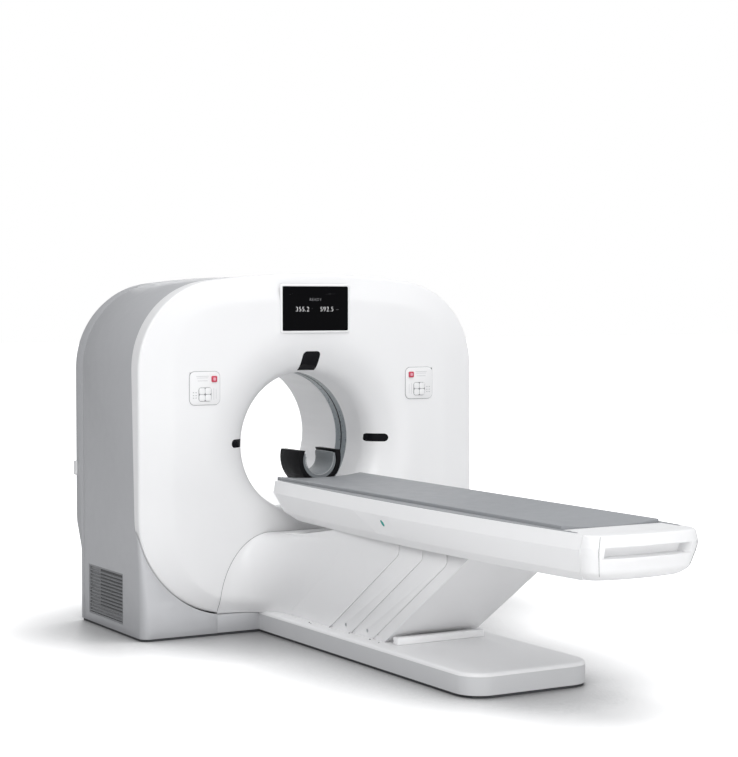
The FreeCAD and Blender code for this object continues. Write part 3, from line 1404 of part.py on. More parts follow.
def make_gearmotor():
    """The lift's gear motor on the base, coupled to the end of the gantry-side arm's shaft."""
    reach = cell.arm_half_width + 24
    y = -cell.rear_arm_pivot
    gearbox = block("gearbox", (-reach - 40, -reach), (y - 45, y + 45), (cell.frame_plate, cell.pivot_height + 40))
    motor = drum("motor", 38, -reach - 20, (y + 45, y + 240), cell.pivot_height)
    keep("lift_gearmotor", joined("lift_gearmotor", [gearbox, motor]))


# ---------------------------------------------------------------------------------------------------------
# Table top
# ---------------------------------------------------------------------------------------------------------


def shell_levels():
    """Heights of the shell's creases with the inset of its plan and the setback of its two ends."""
    swell = size.crease_swell
    return [(size.shell_top, 0.0, 0.0, 0.0), (size.shell_crease, -swell, 10.0, 4.0),
            (size.shell_low, 8.0, 78.0, 28.0), (size.shell_bottom, 34.0, 168.0, 44.0)]


def shell_plan(z, inset, head_back, foot_back, grow=0.0):
    """The table shell's plan at one height: a nose, two swelling sides and a square foot."""
    head = -size.shell_head - head_back - grow
    foot = -size.shell_foot + foot_back + grow
    near = size.head_half_width - inset - grow
    wide = size.middle_half_width - inset - grow
    far = size.foot_half_width - inset - grow
    nose = near - 70
    back = head - 90
    middle = -size.shell_middle
    edges = [line(Vector(-nose, head, z), Vector(nose, head, z))]
    edges.append(quarter(Vector(nose, head, z), Vector(near - 4, head, z), Vector(near, back, z)))
    edges.append(arc(Vector(near, back, z), Vector(wide, middle, z), Vector(far, foot, z)))
    edges.append(line(Vector(far, foot, z), Vector(-far, foot, z)))
    edges.append(arc(Vector(-far, foot, z), Vector(-wide, middle, z), Vector(-near, back, z)))
    edges.append(quarter(Vector(-near, back, z), Vector(-near + 4, head, z), Vector(-nose, head, z)))
    return Part.Wire(edges)


def indicator_form(grow):
    form = pill(38 + 2 * grow, 12 + 2 * grow, 10 + 2 * grow, Vector())
    form.rotate(Vector(), Vector(0, 0, 1), 90)
    form.rotate(Vector(), Vector(1, 0, 0), 41)
    form.translate(Vector(-size.middle_half_width + 2.5 + grow, -size.shell_middle - size.indicator_ahead,
                          size.shell_crease - size.indicator_drop))
    return form


def make_table_shell():
    """The white shell under the tabletop: a long trough, open below for the pedestal and above for the top."""
    wall = size.shell_wall
    outer = solid_between([shell_plan(*level) for level in shell_levels()])
    inner_levels = [(z + (-wall if z == size.shell_top else 0) - (1 if z == size.shell_bottom else 0), *rest)
                    for z, *rest in shell_levels()]
    inner = solid_between([shell_plan(*level, grow=wall) for level in inner_levels])
    shell = outer.cut(inner)
    half = size.cradle_half_width + size.cradle_gap
    slot = box_between((-half, half), (-size.cradle_foot - size.cradle_gap, 0),
                       (size.cradle_bottom - 6, size.cradle_top))
    shaped("table_shell", shell.cut(slot).cut(indicator_form(size.seat)).cut(cap_tongue(size.seat)))


def cap_plan(z, inset, foot_back, bulge_back, hidden=False):
    """The end cap's plan at one height: round corners and a gently bowed end."""
    seam = -size.shell_foot + foot_back - size.seam_gap
    end = -size.cap_end + bulge_back
    half = size.foot_half_width - inset
    corner, bow = size.cap_corner, 24
    shoulders = [(Vector(-half, end + bow, z), corner), (Vector(half, end + bow, z), corner)]
    if hidden:
        reach = corner * (2 - math.sqrt(2))
        shoulders = [(Vector(-half, end + bow + reach, z), 0), (Vector(-half + reach, end + bow, z), 0),
                     (Vector(half - reach, end + bow, z), 0), (Vector(half, end + bow + reach, z), 0)]
    middle = len(shoulders) // 2
    apex = [] if hidden else [(Vector(0, end, z), 1400)]
    corners = [(Vector(half, seam, z), 0), (Vector(-half, seam, z), 0)]
    return rounded_path(corners + shoulders[:middle] + apex + shoulders[middle:])


def cap_tongue(grow):
    """The bar of the carrier that passes the shell's foot end and holds the end cap."""
    end = hand_slot_back() + size.shell_wall + size.seat
    low, high = size.shell_crease - 20 - grow, size.shell_crease + grow
    return box_between((-80 - grow, 80 + grow), (end, -size.carrier_foot + 20), (low, high))


def hand_slot_back():
    """Back wall of the hand slot in the end cap."""
    return -size.cap_end + 62


def make_end_cap():
    """The foot end cap with its hand slot under a lip."""
    swell = size.crease_swell
    levels = [(size.shell_top - 2, 0.0, 0.0, 10.0), (size.shell_crease, -swell, 4.0, 0.0),
              (size.shell_low, 8.0, 28.0, 26.0), (size.shell_bottom, 34.0, 44.0, 58.0)]
    cap = solid_between([cap_plan(*level) for level in levels])
    wall = size.shell_wall
    hollow = solid_between([cap_plan(z - wall if z > size.shell_crease else z, inset + wall, foot_back,
                                     back + wall, True) for z, inset, foot_back, back in levels])
    below = slab(cap_plan(size.shell_low, 8 + wall, 20, 26 + wall, True), Vector(0, 0, -80))
    shell = cap.cut(hollow).cut(below)
    pocket = box_between((-205 - wall, 190 + wall), (-size.cap_end, hand_slot_back() + wall), (660 - wall, 702 + wall))
    slot = box_between((-205, 190), (-size.cap_end - 10, hand_slot_back()), (660, 702))
    shaped("table_end_cap", shell.fuse(pocket.common(cap)).cut(slot))


def make_carrier():
    """The steel frame inside the shell: two long rails, cross members and lugs for the lift shafts."""
    inner, outer = 150, 186
    low, high = 632, 700
    head, foot = -size.carrier_head, -size.carrier_foot
    pieces = []
    for sign in (-1, 1):
        x = (sign * outer, sign * inner) if sign < 0 else (sign * inner, sign * outer)
        pieces.append(box_between(x, (foot, head), (low, high)))
        rail = (sign * 176, sign * 160) if sign < 0 else (sign * 160, sign * 176)
        pieces.append(box_between(rail, (foot, head + 60), (high, size.cradle_bottom - 0.4)))
    for y in (head - 40, head - 430, foot + 550, foot):
        pieces.append(box_between((-outer, outer), (y, y + 40), (low + 10, high)))
    lug_in, lug_out = size.arm_half_width + 6, size.arm_half_width + 22
    for pivot in (size.front_arm_pivot, size.rear_arm_pivot):
        y, z = arm_top(pivot)
        for sign in (-1, 1):
            x = (min(sign * lug_in, sign * lug_out), max(sign * lug_in, sign * lug_out))
            pieces.append(box_between(x, (y - 34, y + 34), (z - 24, high)))
    pieces.append(cap_tongue(0))
    seat_form = solid_between([shell_plan(*level, grow=size.shell_wall + size.seat) for level in shell_levels()])
    for y in (head - 140, head - 560, foot + 250):
        arm = box_between((-size.middle_half_width, size.middle_half_width), (y, y + 36), (640, 650))
        pieces.append(arm.common(seat_form))
    frame = pieces[0].multiFuse(pieces[1:])
    for pivot in (size.front_arm_pivot, size.rear_arm_pivot):
        frame = frame.cut(bar_along(size.shaft_radius + size.running_clearance, size.head_half_width, *arm_top(pivot)))
    shaped("table_carrier", frame)


def make_cradle():
    """The sliding tabletop: a long board, hollowed along its top, on two runners."""
    half, low, high = cell.cradle_half_width, cell.cradle_bottom, cell.cradle_top
    head, foot = -cell.cradle_head, -cell.cradle_foot
    body, sketch, pad = extruded("cradle", "XZ_Plane", foot, head)
    lip = 10
    dip = cell.cradle_dip
    polygon(sketch, [(-half + 16, low), (half - 16, low), (half, low + 14), (half, high), (half - lip, high),
                     (half * 0.62, high - dip * 0.72), (half * 0.25, high - dip), (-half * 0.25, high - dip),
                     (-half * 0.62, high - dip * 0.72), (-half + lip, high), (-half, high), (-half, low + 14)])


def holder_outline(y):
    """The head holder's section: a deep U with thick sides and a flat foot."""
    half, low, high = size.holder_half_width, size.holder_bottom, size.holder_top
    bore = size.holder_bore
    centre = low + bore + 14
    rim = math.sqrt(bore**2 - (high - centre) ** 2)
    foot = half * 0.55
    middle = Vector(half * 0.93, y, low + (high - low) * 0.36)
    edges = [line(Vector(-foot, y, low), Vector(foot, y, low))]
    edges.append(arc(Vector(foot, y, low), middle, Vector(half, y, high)))
    edges.append(line(Vector(half, y, high), Vector(rim, y, high)))
    edges.append(arc(Vector(rim, y, high), Vector(0, y, centre - bore), Vector(-rim, y, high)))
    edges.append(line(Vector(-rim, y, high), Vector(-half, y, high)))
    edges.append(arc(Vector(-half, y, high), Vector(-middle.x, y, middle.z), Vector(-foot, y, low)))
    return Part.Wire(edges)


def make_head_holder():
    start = -size.holder_foot
    holder = slab(holder_outline(start), Vector(0, size.holder_length, 0))
    tongue = box_between((-55, 55), (-size.cradle_head, start + size.holder_length), (size.holder_bottom, size.holder_bottom + 9))
    holder = holder.fuse(tongue)
    gap = box_between((-2 * size.holder_half_width, 2 * size.holder_half_width), (start - 1, -size.cradle_head),
                      (0, size.cradle_top + 0.3))
    shaped("head_holder", holder.cut(gap))


def make_head_cushion():
    """The lining of the head holder: soft, so it is thickest in the middle and draws in at its ends."""
    bore = size.holder_bore - 0.3
    centre = size.holder_bottom + size.holder_bore + 14
    start = -size.holder_foot + 6
    end = start + size.holder_length - 14
    full, thin = centre - bore + size.cushion_thick, centre - bore + 0.45 * size.cushion_thick
    crown = (Vector(0, end, thin), Vector(0, (start + end) / 2, full), Vector(0, start, thin))
    outer = centre - bore
    edges = [line(Vector(0, start, outer), Vector(0, end, outer)), line(Vector(0, end, outer), Vector(0, end, thin))]
    edges += chords(crown, 4) + [line(Vector(0, start, thin), Vector(0, start, outer))]
    ring = Part.Face(Part.Wire(edges)).revolve(Vector(0, 0, centre), Vector(0, 1, 0), 360)
    top = size.holder_top - 22
    half = ring.cut(box_between((-bore - 1, bore + 1), (start - 1, end + 1), (top, top + 2 * bore)))
    lips = [edge for edge in half.Edges if edge.BoundBox.ZMin > top - 0.01 and edge.BoundBox.YLength > 5]
    inner_lips = [edge for edge in lips if edge.BoundBox.XLength > 0.1]
    shaped("head_cushion", half.makeChamfer(0.28 * size.cushion_thick, inner_lips))


def make_indicator():
    """The small slanted lamp in the shell's left side."""
    shaped("table_indicator", indicator_form(0))


# ---------------------------------------------------------------------------------------------------------
# Build, check and write
# ---------------------------------------------------------------------------------------------------------

make_gantry_base()
make_stator_frame()
make_main_bearing()
make_front_cover()
make_side_covers()
make_grilles()
make_rear_cover()
make_scan_window()
make_display()
make_laser_windows()
make_control_panels()
make_rotor_disc()
make_xray_tube()
make_collimator()
make_detector()
make_rotor_units()
make_slip_ring()
make_drive()
make_power_cabinet()
make_transition_cover()
make_base_cover()
make_hinge_rail()
make_base_frame()
make_side_plates()
make_hinge_pins()
make_lift_arms()
make_shafts()
make_gearmotor()
make_table_shell()
make_end_cap()
make_carrier()
make_cradle()
make_head_holder()
make_head_cushion()
make_indicator()

doc.recompute()
for thing in doc.Objects:
    if {"Invalid", "Error"} & set(thing.State):
        raise RuntimeError(f"{thing.Label} did not build: {thing.State}")
for label, thing in nodes.items():
    if thing.Shape.isNull() or not thing.Shape.isValid() or not thing.Shape.Solids:
        raise RuntimeError(f"{label} is not a sound solid")

os.makedirs("parts", exist_ok=True)
for label, thing in nodes.items():
    thing.Shape.exportStep(f"parts/{label}.step")
print(len(nodes), "pieces")
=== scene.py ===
# %% [markdown]
# A medical CT scanner, dressed round its CAD frame. The gantry is a ring-shaped machine in moulded covers, and
# the patient table in front of it carries a sliding top. The frame gives every size, so each new piece is put
# where the CAD says, in metres: X across the gantry, Y along the bore, Z up from the floor.

# %% Load the frame
import json
import math

import bmesh
import bpy
from mathutils import Matrix, Vector

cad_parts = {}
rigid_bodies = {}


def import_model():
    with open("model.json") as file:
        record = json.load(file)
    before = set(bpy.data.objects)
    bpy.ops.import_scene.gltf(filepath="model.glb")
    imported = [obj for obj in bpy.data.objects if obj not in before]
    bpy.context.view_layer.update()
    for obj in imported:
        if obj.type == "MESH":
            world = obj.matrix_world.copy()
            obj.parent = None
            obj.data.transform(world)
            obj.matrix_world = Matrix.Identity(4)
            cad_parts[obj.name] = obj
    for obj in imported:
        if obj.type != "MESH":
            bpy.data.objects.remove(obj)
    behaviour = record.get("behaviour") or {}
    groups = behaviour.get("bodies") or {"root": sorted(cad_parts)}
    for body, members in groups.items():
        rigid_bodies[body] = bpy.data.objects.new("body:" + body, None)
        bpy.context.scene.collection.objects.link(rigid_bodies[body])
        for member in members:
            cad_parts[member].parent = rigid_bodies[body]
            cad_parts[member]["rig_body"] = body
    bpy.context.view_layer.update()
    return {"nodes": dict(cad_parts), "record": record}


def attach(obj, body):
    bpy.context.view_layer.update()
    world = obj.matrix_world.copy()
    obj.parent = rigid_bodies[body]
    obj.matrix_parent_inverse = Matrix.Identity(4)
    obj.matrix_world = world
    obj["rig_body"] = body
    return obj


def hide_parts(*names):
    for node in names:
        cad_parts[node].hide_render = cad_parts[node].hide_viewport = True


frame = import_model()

nodes = frame["nodes"]
GANTRY, TABLE, TABLETOP = "gantry_and_base", "table", "tabletop"
SIDES = (("left", -1), ("right", 1))

# %% [markdown]
# The camera stands where the photographer stood, to the left of the table and a little above it. A long lens
# keeps the gantry's sides nearly parallel. The place and the two turns were solved from points of the object.

# %% Camera
LOOK_DOWN, LOOK_RIGHT = 2.3474, 30.26

camera_data = bpy.data.cameras.new("camera")
camera_data.sensor_width = 36
camera_data.lens = 90.55
camera = bpy.data.objects.new("camera", camera_data)
bpy.context.scene.collection.objects.link(camera)
camera.location = (-4.5452, -8.6797, 1.6282)
camera.rotation_euler = (math.radians(90 - LOOK_DOWN), 0, math.radians(-LOOK_RIGHT))
bpy.context.scene.camera = camera
print("camera", tuple(round(c, 2) for c in camera.location), "lens", camera_data.lens)

# %% [markdown]
# The studio is white. The world gives an even light, and it is pure white only where the camera looks straight
# at it. Four soft lamps shape the covers: a large one from the front left, one from above, one behind that
# lights the bore, and a low one that reaches the leaning plate under the table. They stay low in power, so a
# colour renders about as it is written. Two short helpers come first, because every shader below uses them.

# %% World and lamps
AMBIENT = 0.53


def feed(tree, socket, value):
    """Link a socket to another node's output, or set it to a plain value."""
    if isinstance(value, bpy.types.NodeSocket):
        tree.links.new(value, socket)
    else:
        socket.default_value = value


def add_node(tree, kind, **inputs):
    """A shader node whose inputs are fed by name; an underscore stands for a space."""
    node = tree.nodes.new("ShaderNode" + kind)
    for name, value in inputs.items():
        feed(tree, node.inputs[name.replace("_", " ")], value)
    return node


def soft_lamp(name, place, aim, width, height, power):
    """An area lamp that looks at a point."""
    data = bpy.data.lights.new(name, "AREA")
    data.shape = "RECTANGLE"
    data.size, data.size_y, data.energy = width, height, power
    lamp = bpy.data.objects.new(name, data)
    lamp.location = place
    lamp.rotation_euler = (Vector(aim) - Vector(place)).to_track_quat("-Z", "Y").to_euler()
    bpy.context.scene.collection.objects.link(lamp)


world = bpy.data.worlds.new("studio")
bpy.context.scene.world = world
world.use_nodes = True
tree = world.node_tree
tree.nodes.clear()
lighting = add_node(tree, "Background", Color=(0.97, 0.98, 1.0, 1), Strength=AMBIENT)
seen = add_node(tree, "Background", Color=(1, 1, 1, 1))
chooser = add_node(tree, "MixShader")
camera_ray = add_node(tree, "LightPath").outputs["Is Camera Ray"]
for socket, source in zip(chooser.inputs, (camera_ray, lighting.outputs[0], seen.outputs[0])):
    feed(tree, socket, source)
add_node(tree, "OutputWorld", Surface=chooser.outputs[0])

soft_lamp("key_lamp", (-3.4, -5.4, 3.3), (-0.9, -0.3, 1.2), 2.6, 2.2, 112)
soft_lamp("top_lamp", (0.5, -2.0, 5.2), (0, -1.0, 0.5), 4.5, 4.0, 110)
soft_lamp("rear_lamp", (0.9, 2.6, 1.5), (0, 0.1, 0.9), 1.6, 1.6, 22)
soft_lamp("low_lamp", (0.8, -7.0, 0.5), (0.0, -1.4, 0.35), 3.0, 0.7, 48)

bpy.context.scene.view_settings.view_transform = "Standard"
print("ambient", AMBIENT, "with", len(bpy.data.lights), "lamps")

# %% [markdown]
# Every finish is built from noise on Object coordinates: a slow noise shifts the colour a little, a finer one
# moves the roughness, and the finest one is the grain that the mould leaves. One function wires this up, and
# each finish only gives its own numbers. Values that are the same all over sit on the shader's own sockets.

# %% A finish from three noises


def new_material(name):
    """A fresh material, its node tree, its shader and the Object coordinates."""
    material = bpy.data.materials.new(name)
    material.use_nodes = True
    tree = material.node_tree
    return material, tree, tree.nodes["Principled BSDF"], add_node(tree, "TexCoord").outputs["Object"]


def noise(tree, vector, scale, detail=3.0):
    return add_node(tree, "TexNoise", Scale=scale, Detail=detail, Roughness=0.55, Vector=vector).outputs["Fac"]


def blend_colours(tree, factor, first, second):
    """A colour that moves from first to second, each a plain colour or another node's output."""
    mix = tree.nodes.new("ShaderNodeMix")
    mix.data_type = "RGBA"
    feed(tree, mix.inputs["Factor"], factor)
    for letter, colour in (("A", first), ("B", second)):
        feed(tree, mix.inputs[letter], colour if isinstance(colour, bpy.types.NodeSocket) else (*colour, 1))
    return mix.outputs["Result"]


def span(tree, factor, low, high, start=0.3, end=0.7):
    """A value that runs from low to high while the factor runs from start to end."""
    return add_node(tree, "MapRange", From_Min=start, From_Max=end, To_Min=low, To_Max=high,
                    Value=factor).outputs["Result"]


def finish(name, colour, drift=0.02, roughness=0.4, spread=0.05, grain=700, depth=0.0002, patch=2.0, metal=0.0,
           coat=0.0, specular=0.5):
    """A moulded or painted surface; drift is how far the colour wanders, as a share."""
    material, tree, shader, place = new_material(name)
    darker = [c * (1 - drift) for c in colour]
    lighter = [min(1.0, c * (1 + drift)) for c in colour]
    feed(tree, shader.inputs["Base Color"], blend_colours(tree, noise(tree, place, patch), darker, lighter))
    even = span(tree, noise(tree, place, patch * 9), roughness - spread, roughness + spread)
    feed(tree, shader.inputs["Roughness"], even)
    bump = add_node(tree, "Bump", Distance=depth, Strength=1.0, Height=noise(tree, place, grain, 2.0))
    feed(tree, shader.inputs["Normal"], bump.outputs["Normal"])
    for socket, value in (("Metallic", metal), ("Coat Weight", coat), ("Specular IOR Level", specular)):
        shader.inputs[socket].default_value = value
    return material


# %% [markdown]
# The covers are white moulded plastic with a soft gloss and a fine texture. The gantry's sides and its skirt
# are painted silver grey, which shows a little metal in its highlights. Inside the bore a cooler grey band
# holds the scan window. Steel, aluminium and lead coatings dress the parts that the covers hide. Each finish
# has the name of a material slot of the frame, so that the next cell can hand them out.

# %% The finishes
WHITE = (0.86, 0.86, 0.865)
SILVER = (0.52, 0.525, 0.54)

paint = {
    "cover_white": finish("white_moulding", WHITE, drift=0.008, roughness=0.36, spread=0.03, depth=0.00008),
    "cover_grey": finish("silver_paint", SILVER, roughness=0.42, grain=1400, depth=0.0001, metal=0.25),
    "dark_grille": finish("grille_paint", (0.30, 0.305, 0.315), roughness=0.5, grain=900),
    "band_grey": finish("window_band_grey", (0.22, 0.25, 0.27), drift=0.04, roughness=0.3, metal=0.2, patch=5),
    "dark_film": finish("black_window_film", (0.006, 0.006, 0.008), drift=0.2, roughness=0.12, spread=0.03,
                        grain=200, depth=0.00003, specular=0.12),
    "button_red": finish("stop_key_red", (0.55, 0.03, 0.07), drift=0.05, roughness=0.3, coat=0.3),
    "key_grey": finish("key_white", (0.74, 0.74, 0.75), roughness=0.45),
    "painted_steel": finish("frame_paint", (0.05, 0.052, 0.057), drift=0.15, roughness=0.5, patch=6),
    "steel": finish("ground_steel", (0.55, 0.56, 0.58), drift=0.08, roughness=0.3, metal=1.0, grain=300, patch=20),
    "aluminium": finish("milled_aluminium", (0.66, 0.67, 0.69), drift=0.05, roughness=0.36, metal=1.0, grain=500),
    "lead_grey": finish("lead_coat", (0.24, 0.25, 0.27), drift=0.1, roughness=0.55, patch=8),
    "detector_grey": finish("box_coat", (0.15, 0.16, 0.18), drift=0.1, roughness=0.5, patch=8),
    "copper": finish("slip_ring_bronze", (0.60, 0.36, 0.18), drift=0.1, roughness=0.28, metal=1.0, patch=30),
    "motor_dark": finish("motor_enamel", (0.08, 0.085, 0.095), drift=0.1, roughness=0.45, patch=10),
    "belt_rubber": finish("belt_rubber", (0.02, 0.02, 0.02), drift=0.2, roughness=0.8, grain=400, depth=0.0006),
    "cradle_grey": finish("tabletop_grey", (0.30, 0.31, 0.325), drift=0.03, roughness=0.5, grain=1100),
    "holder_black": finish("holder_black", (0.006, 0.006, 0.007), drift=0.2, roughness=0.5, grain=600,
                           specular=0.12),
    "indicator_teal": finish("lamp_teal", (0.02, 0.30, 0.26), drift=0.05, roughness=0.2, coat=0.5),
}
print(len(paint), "finishes")

# %% [markdown]
# A node's record names its material slot, so the finishes go on by that name and no node is forgotten. A slot
# without a finish of its own takes the covers' white.

# %% Paint the CAD nodes
slot_of = {part["node"]: part["material_slot"] for part in frame["record"]["subparts"]}
for name, thing in nodes.items():
    thing.data.materials.clear()
    thing.data.materials.append(paint.get(slot_of[name], paint["cover_white"]))
print(len(nodes), "nodes painted in", len(set(slot_of.values())), "slots")

# %% [markdown]
# The floor is a wide pale sheet. It is lit like the object, so it takes the soft shadow under the covers. An
# occlusion node, which knows how closed in a spot is, darkens its paint near the machine: that is painted
# shade, on top of the shadow that the lamps cast. For the camera the floor also adds some white of its own,
# half by the object and all of it further out, so that it fades into the background. The painted shade dims
# this white near the machine as well.

# %% Floor
FLOOR_HALF, FLOOR_DROP = 60, 0.0005
SHADE_REACH, SHADE_POWER, SHADE_COLOUR = 0.8, 3.0, (0.26, 0.26, 0.265)
TABLE_MIDDLE, WHITE_FROM, WHITE_AT = (0, -1.0, 0), 1.4, 2.8

floor_mesh = bpy.data.meshes.new("floor")
bm = bmesh.new()
bmesh.ops.create_grid(bm, x_segments=1, y_segments=1, size=FLOOR_HALF)
bm.to_mesh(floor_mesh)
bm.free()
floor = bpy.data.objects.new("floor", floor_mesh)
floor.location.z = -FLOOR_DROP
bpy.context.scene.collection.objects.link(floor)


def maths(tree, operation, first, second):
    """A maths node on two values, each a number or another node's output."""
    node = tree.nodes.new("ShaderNodeMath")
    node.operation = operation
    feed(tree, node.inputs[0], first)
    feed(tree, node.inputs[1], second)
    return node.outputs[0]


floor_finish, tree, shader, place = new_material("pale_floor")
near_things = add_node(tree, "AmbientOcclusion", Distance=SHADE_REACH)
near_things.samples = 8
# Painted shade: this occlusion factor darkens the floor's colour and dims its own white near the machine.
openness = maths(tree, "POWER", near_things.outputs["AO"], SHADE_POWER)
sheet = blend_colours(tree, noise(tree, place, 0.7), (0.895, 0.895, 0.895), (0.905, 0.905, 0.905))
feed(tree, shader.inputs["Base Color"], blend_colours(tree, openness, SHADE_COLOUR, sheet))
shader.inputs["Roughness"].default_value = 0.32
away = tree.nodes.new("ShaderNodeVectorMath")
away.operation = "DISTANCE"
feed(tree, away.inputs[0], place)
feed(tree, away.inputs[1], TABLE_MIDDLE)
own_white = maths(tree, "MULTIPLY", span(tree, away.outputs["Value"], 0.50, 1.0, WHITE_FROM, WHITE_AT), openness)
camera_ray = add_node(tree, "LightPath").outputs["Is Camera Ray"]
glow = add_node(tree, "Emission", Color=(1, 1, 1, 1), Strength=maths(tree, "MULTIPLY", camera_ray, own_white))
both = add_node(tree, "AddShader")
feed(tree, both.inputs[0], shader.outputs[0])
feed(tree, both.inputs[1], glow.outputs[0])
feed(tree, tree.nodes["Material Output"].inputs["Surface"], both.outputs[0])
floor_mesh.materials.append(floor_finish)
print("floor laid,", 2 * FLOOR_HALF, "m wide")

# %% [markdown]
# The new pieces need a few hands. A skin is drawn through rings of points: the first ring starts as a circle,
# and every next ring is extruded from the last one and moved into place. Moulded covers are made like this in
# CAD as well, as a loft through sections. A second helper shades a piece, paints it and hangs it on its body.
# The others draw arcs, straight runs and rounded rectangles.

# %% Rings, skins and pieces


def skin(rings, close_first=False, close_last=False):
    """A skin through closed rings with equal counts of points."""
    bm = bmesh.new()
    ring = bmesh.ops.create_circle(bm, segments=len(rings[0]), radius=1)["verts"]
    for vertex, point in zip(ring, rings[0]):
        vertex.co = point
    edges = list(dict.fromkeys(edge for vertex in ring for edge in vertex.link_edges))
    if close_first:
        bmesh.ops.edgeloop_fill(bm, edges=edges)
    for points in rings[1:]:
        rank = {vertex: number for number, vertex in enumerate(ring)}
        made = bmesh.ops.extrude_edge_only(bm, edges=edges)["geom"]
        fresh = [item for item in made if isinstance(item, bmesh.types.BMVert)]
        ring = [None] * len(points)
        for vertex in fresh:
            number = next(rank[edge.other_vert(vertex)] for edge in vertex.link_edges
                          if edge.other_vert(vertex) in rank)
            vertex.co = points[number]
            ring[number] = vertex
        inside = set(fresh)
        edges = [item for item in made if isinstance(item, bmesh.types.BMEdge)
                 and item.verts[0] in inside and item.verts[1] in inside]
    if close_last:
        bmesh.ops.edgeloop_fill(bm, edges=edges)
    return bm


def piece(name, bm, body, slot, stands_for=(), crease=35, own_finish=None):
    """A finished piece: merged, faced outwards, shaded, painted and hung on its body."""
    bmesh.ops.remove_doubles(bm, verts=bm.verts, dist=1e-5)
    bmesh.ops.recalc_face_normals(bm, faces=bm.faces)
    mesh = bpy.data.meshes.new(name)
    bm.to_mesh(mesh)
    bm.free()
    mesh.shade_smooth()
    mesh.set_sharp_from_angle(angle=math.radians(crease))
    mesh.materials.append(own_finish or paint[slot])
    thing = bpy.data.objects.new(name, mesh)
    bpy.context.scene.collection.objects.link(thing)
    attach(thing, body)
    if stands_for:
        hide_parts(*stands_for)
    print(name, len(mesh.polygons), "faces on", body)
    return thing


def arc_points(centre, radius, start, end, steps):
    """Points on an arc in a plane, angles in degrees, both ends included."""
    turns = [math.radians(start + (end - start) * k / steps) for k in range(steps + 1)]
    return [(centre[0] + radius * math.cos(t), centre[1] + radius * math.sin(t)) for t in turns]


def run_points(start, end, steps):
    """Points on a straight run, without its first one."""
    return [tuple(a + (b - a) * k / steps for a, b in zip(start, end)) for k in range(1, steps + 1)]


def dense(points, gap):
    """The same closed outline with more points on its long straight runs."""
    filled = []
    for start, end in zip(points, points[1:] + points[:1]):
        filled += [start] + run_points(start, end, max(1, math.ceil(math.dist(start, end) / gap)))[:-1]
    return filled


def rounded(half_u, half_v, radius):
    """A rounded rectangle about its own middle."""
    radius = max(min(radius, half_u, half_v), 1e-4)
    points = []
    for sign_u, sign_v, start in ((1, 1, 0), (-1, 1, 90), (-1, -1, 180), (1, -1, 270)):
        corner = (sign_u * (half_u - radius), sign_v * (half_v - radius))
        points += arc_points(corner, radius, start, start + 90, 6)
    return points


print("a rounded rectangle has", len(rounded(0.2, 0.1, 0.02)), "points")

# %% [markdown]
# The front cover is one large moulding. Every ring of its skin goes once round the bore axis, so a ring can be
# a circle near the bore and the cover's own outline at the rim. The outline has a nearly flat crown, wide
# shoulders and large foot corners, all tangent arcs. This cell asks the outline how far it is from the axis at
# each of 256 turns, because then all rings have equal counts and the skin has no twist.

# %% Outline of the front cover
AXIS = 0.917
HALF_WIDTH, TOP, LOW = 0.942, 1.760, 0.099
SHOULDER, FOOT_CORNER, CROWN = 0.438, 0.485, 4.4
TURN = [math.radians(-90 + 360 * k / 256) for k in range(256)]


def half_outline(half, top, low, corner, foot_corner):
    """The right half of the cover's outline, from its lower middle to its crown."""
    inner = half - foot_corner
    points = [(inner * k / 6, low) for k in range(6)]
    points += arc_points((inner, low + foot_corner), foot_corner, -90, 0, 24)
    centre_x = half - corner
    centre_z = top - CROWN + math.sqrt((CROWN - corner) ** 2 - centre_x**2)
    meet = math.degrees(math.atan2(centre_z - top + CROWN, centre_x))
    points += arc_points((centre_x, centre_z), corner, 0, meet, 24)
    return points + arc_points((0, top - CROWN), CROWN, meet, 90, 10)[1:]


def reach_of(points):
    """How far the outline lies from the bore axis, at every turn of the ring."""
    ends = (points[0], points[-1])
    known = sorted((math.atan2(z - AXIS, x), math.hypot(x, z - AXIS)) for x, z in dense(points, 0.01)
                   if x > 1e-6 or (x, z) in ends)
    spread = []
    for turn in TURN:
        angle = math.atan2(math.sin(turn), abs(math.cos(turn)))
        below = max((k for k in range(len(known)) if known[k][0] <= angle + 1e-9), default=0)
        above = min(below + 1, len(known) - 1)
        gap = known[above][0] - known[below][0]
        share = (angle - known[below][0]) / gap if gap > 1e-9 else 0
        spread.append(known[below][1] + (known[above][1] - known[below][1]) * share)
    return spread


def cover_reach(side, top=None, bottom=None):
    """The reach of the outline drawn in at the side, the top and the bottom, or all round by one amount."""
    top, bottom = (side, side) if top is None else (top, bottom)
    return reach_of(half_outline(HALF_WIDTH - side, TOP - top, LOW + bottom, SHOULDER - side,
                                 FOOT_CORNER - (side + bottom) / 2))


def around(reaches, y):
    """A ring at one depth, or at a depth for every point."""
    depths = y if isinstance(y, list) else [y] * len(TURN)
    return [Vector((reach * math.cos(turn), depth, AXIS + reach * math.sin(turn)))
            for reach, turn, depth in zip(reaches, TURN, depths)]


def circle(radius, y):
    return around([radius] * len(TURN), y)


print("the cover reaches", round(min(cover_reach(0)), 3), "to", round(max(cover_reach(0)), 3), "m from the axis")

# %% [markdown]
# Seen from the side, the bore opens in a funnel of two tangent arcs, the flat face runs out to a shallow bevel,
# and a rounded rim turns back to the seam with the side covers, which leans a little. The rings follow that
# section. The flat face would need none, but about twenty of them let the openings for the two control panels
# be cut out by deleting whole faces, so that a key has room behind it when it is pressed.

# %% Front cover
FACE, RIM, THROAT = -0.356, -0.330, -0.198
BORE, MOUTH, TIGHT, LINER_FRONT = 0.350, 0.596, 0.118, -0.0563
ROUND, BEVEL, LIP_WALL, LIP_BACK = 0.012, (0.160, 0.113, 0.048), 0.007, -0.30
PANEL_X, PANEL_Z, PANEL_OPENING = 0.607, 1.205, 0.0818


def seam_depth(z):
    return -0.228 - 0.04 * (TOP - z)


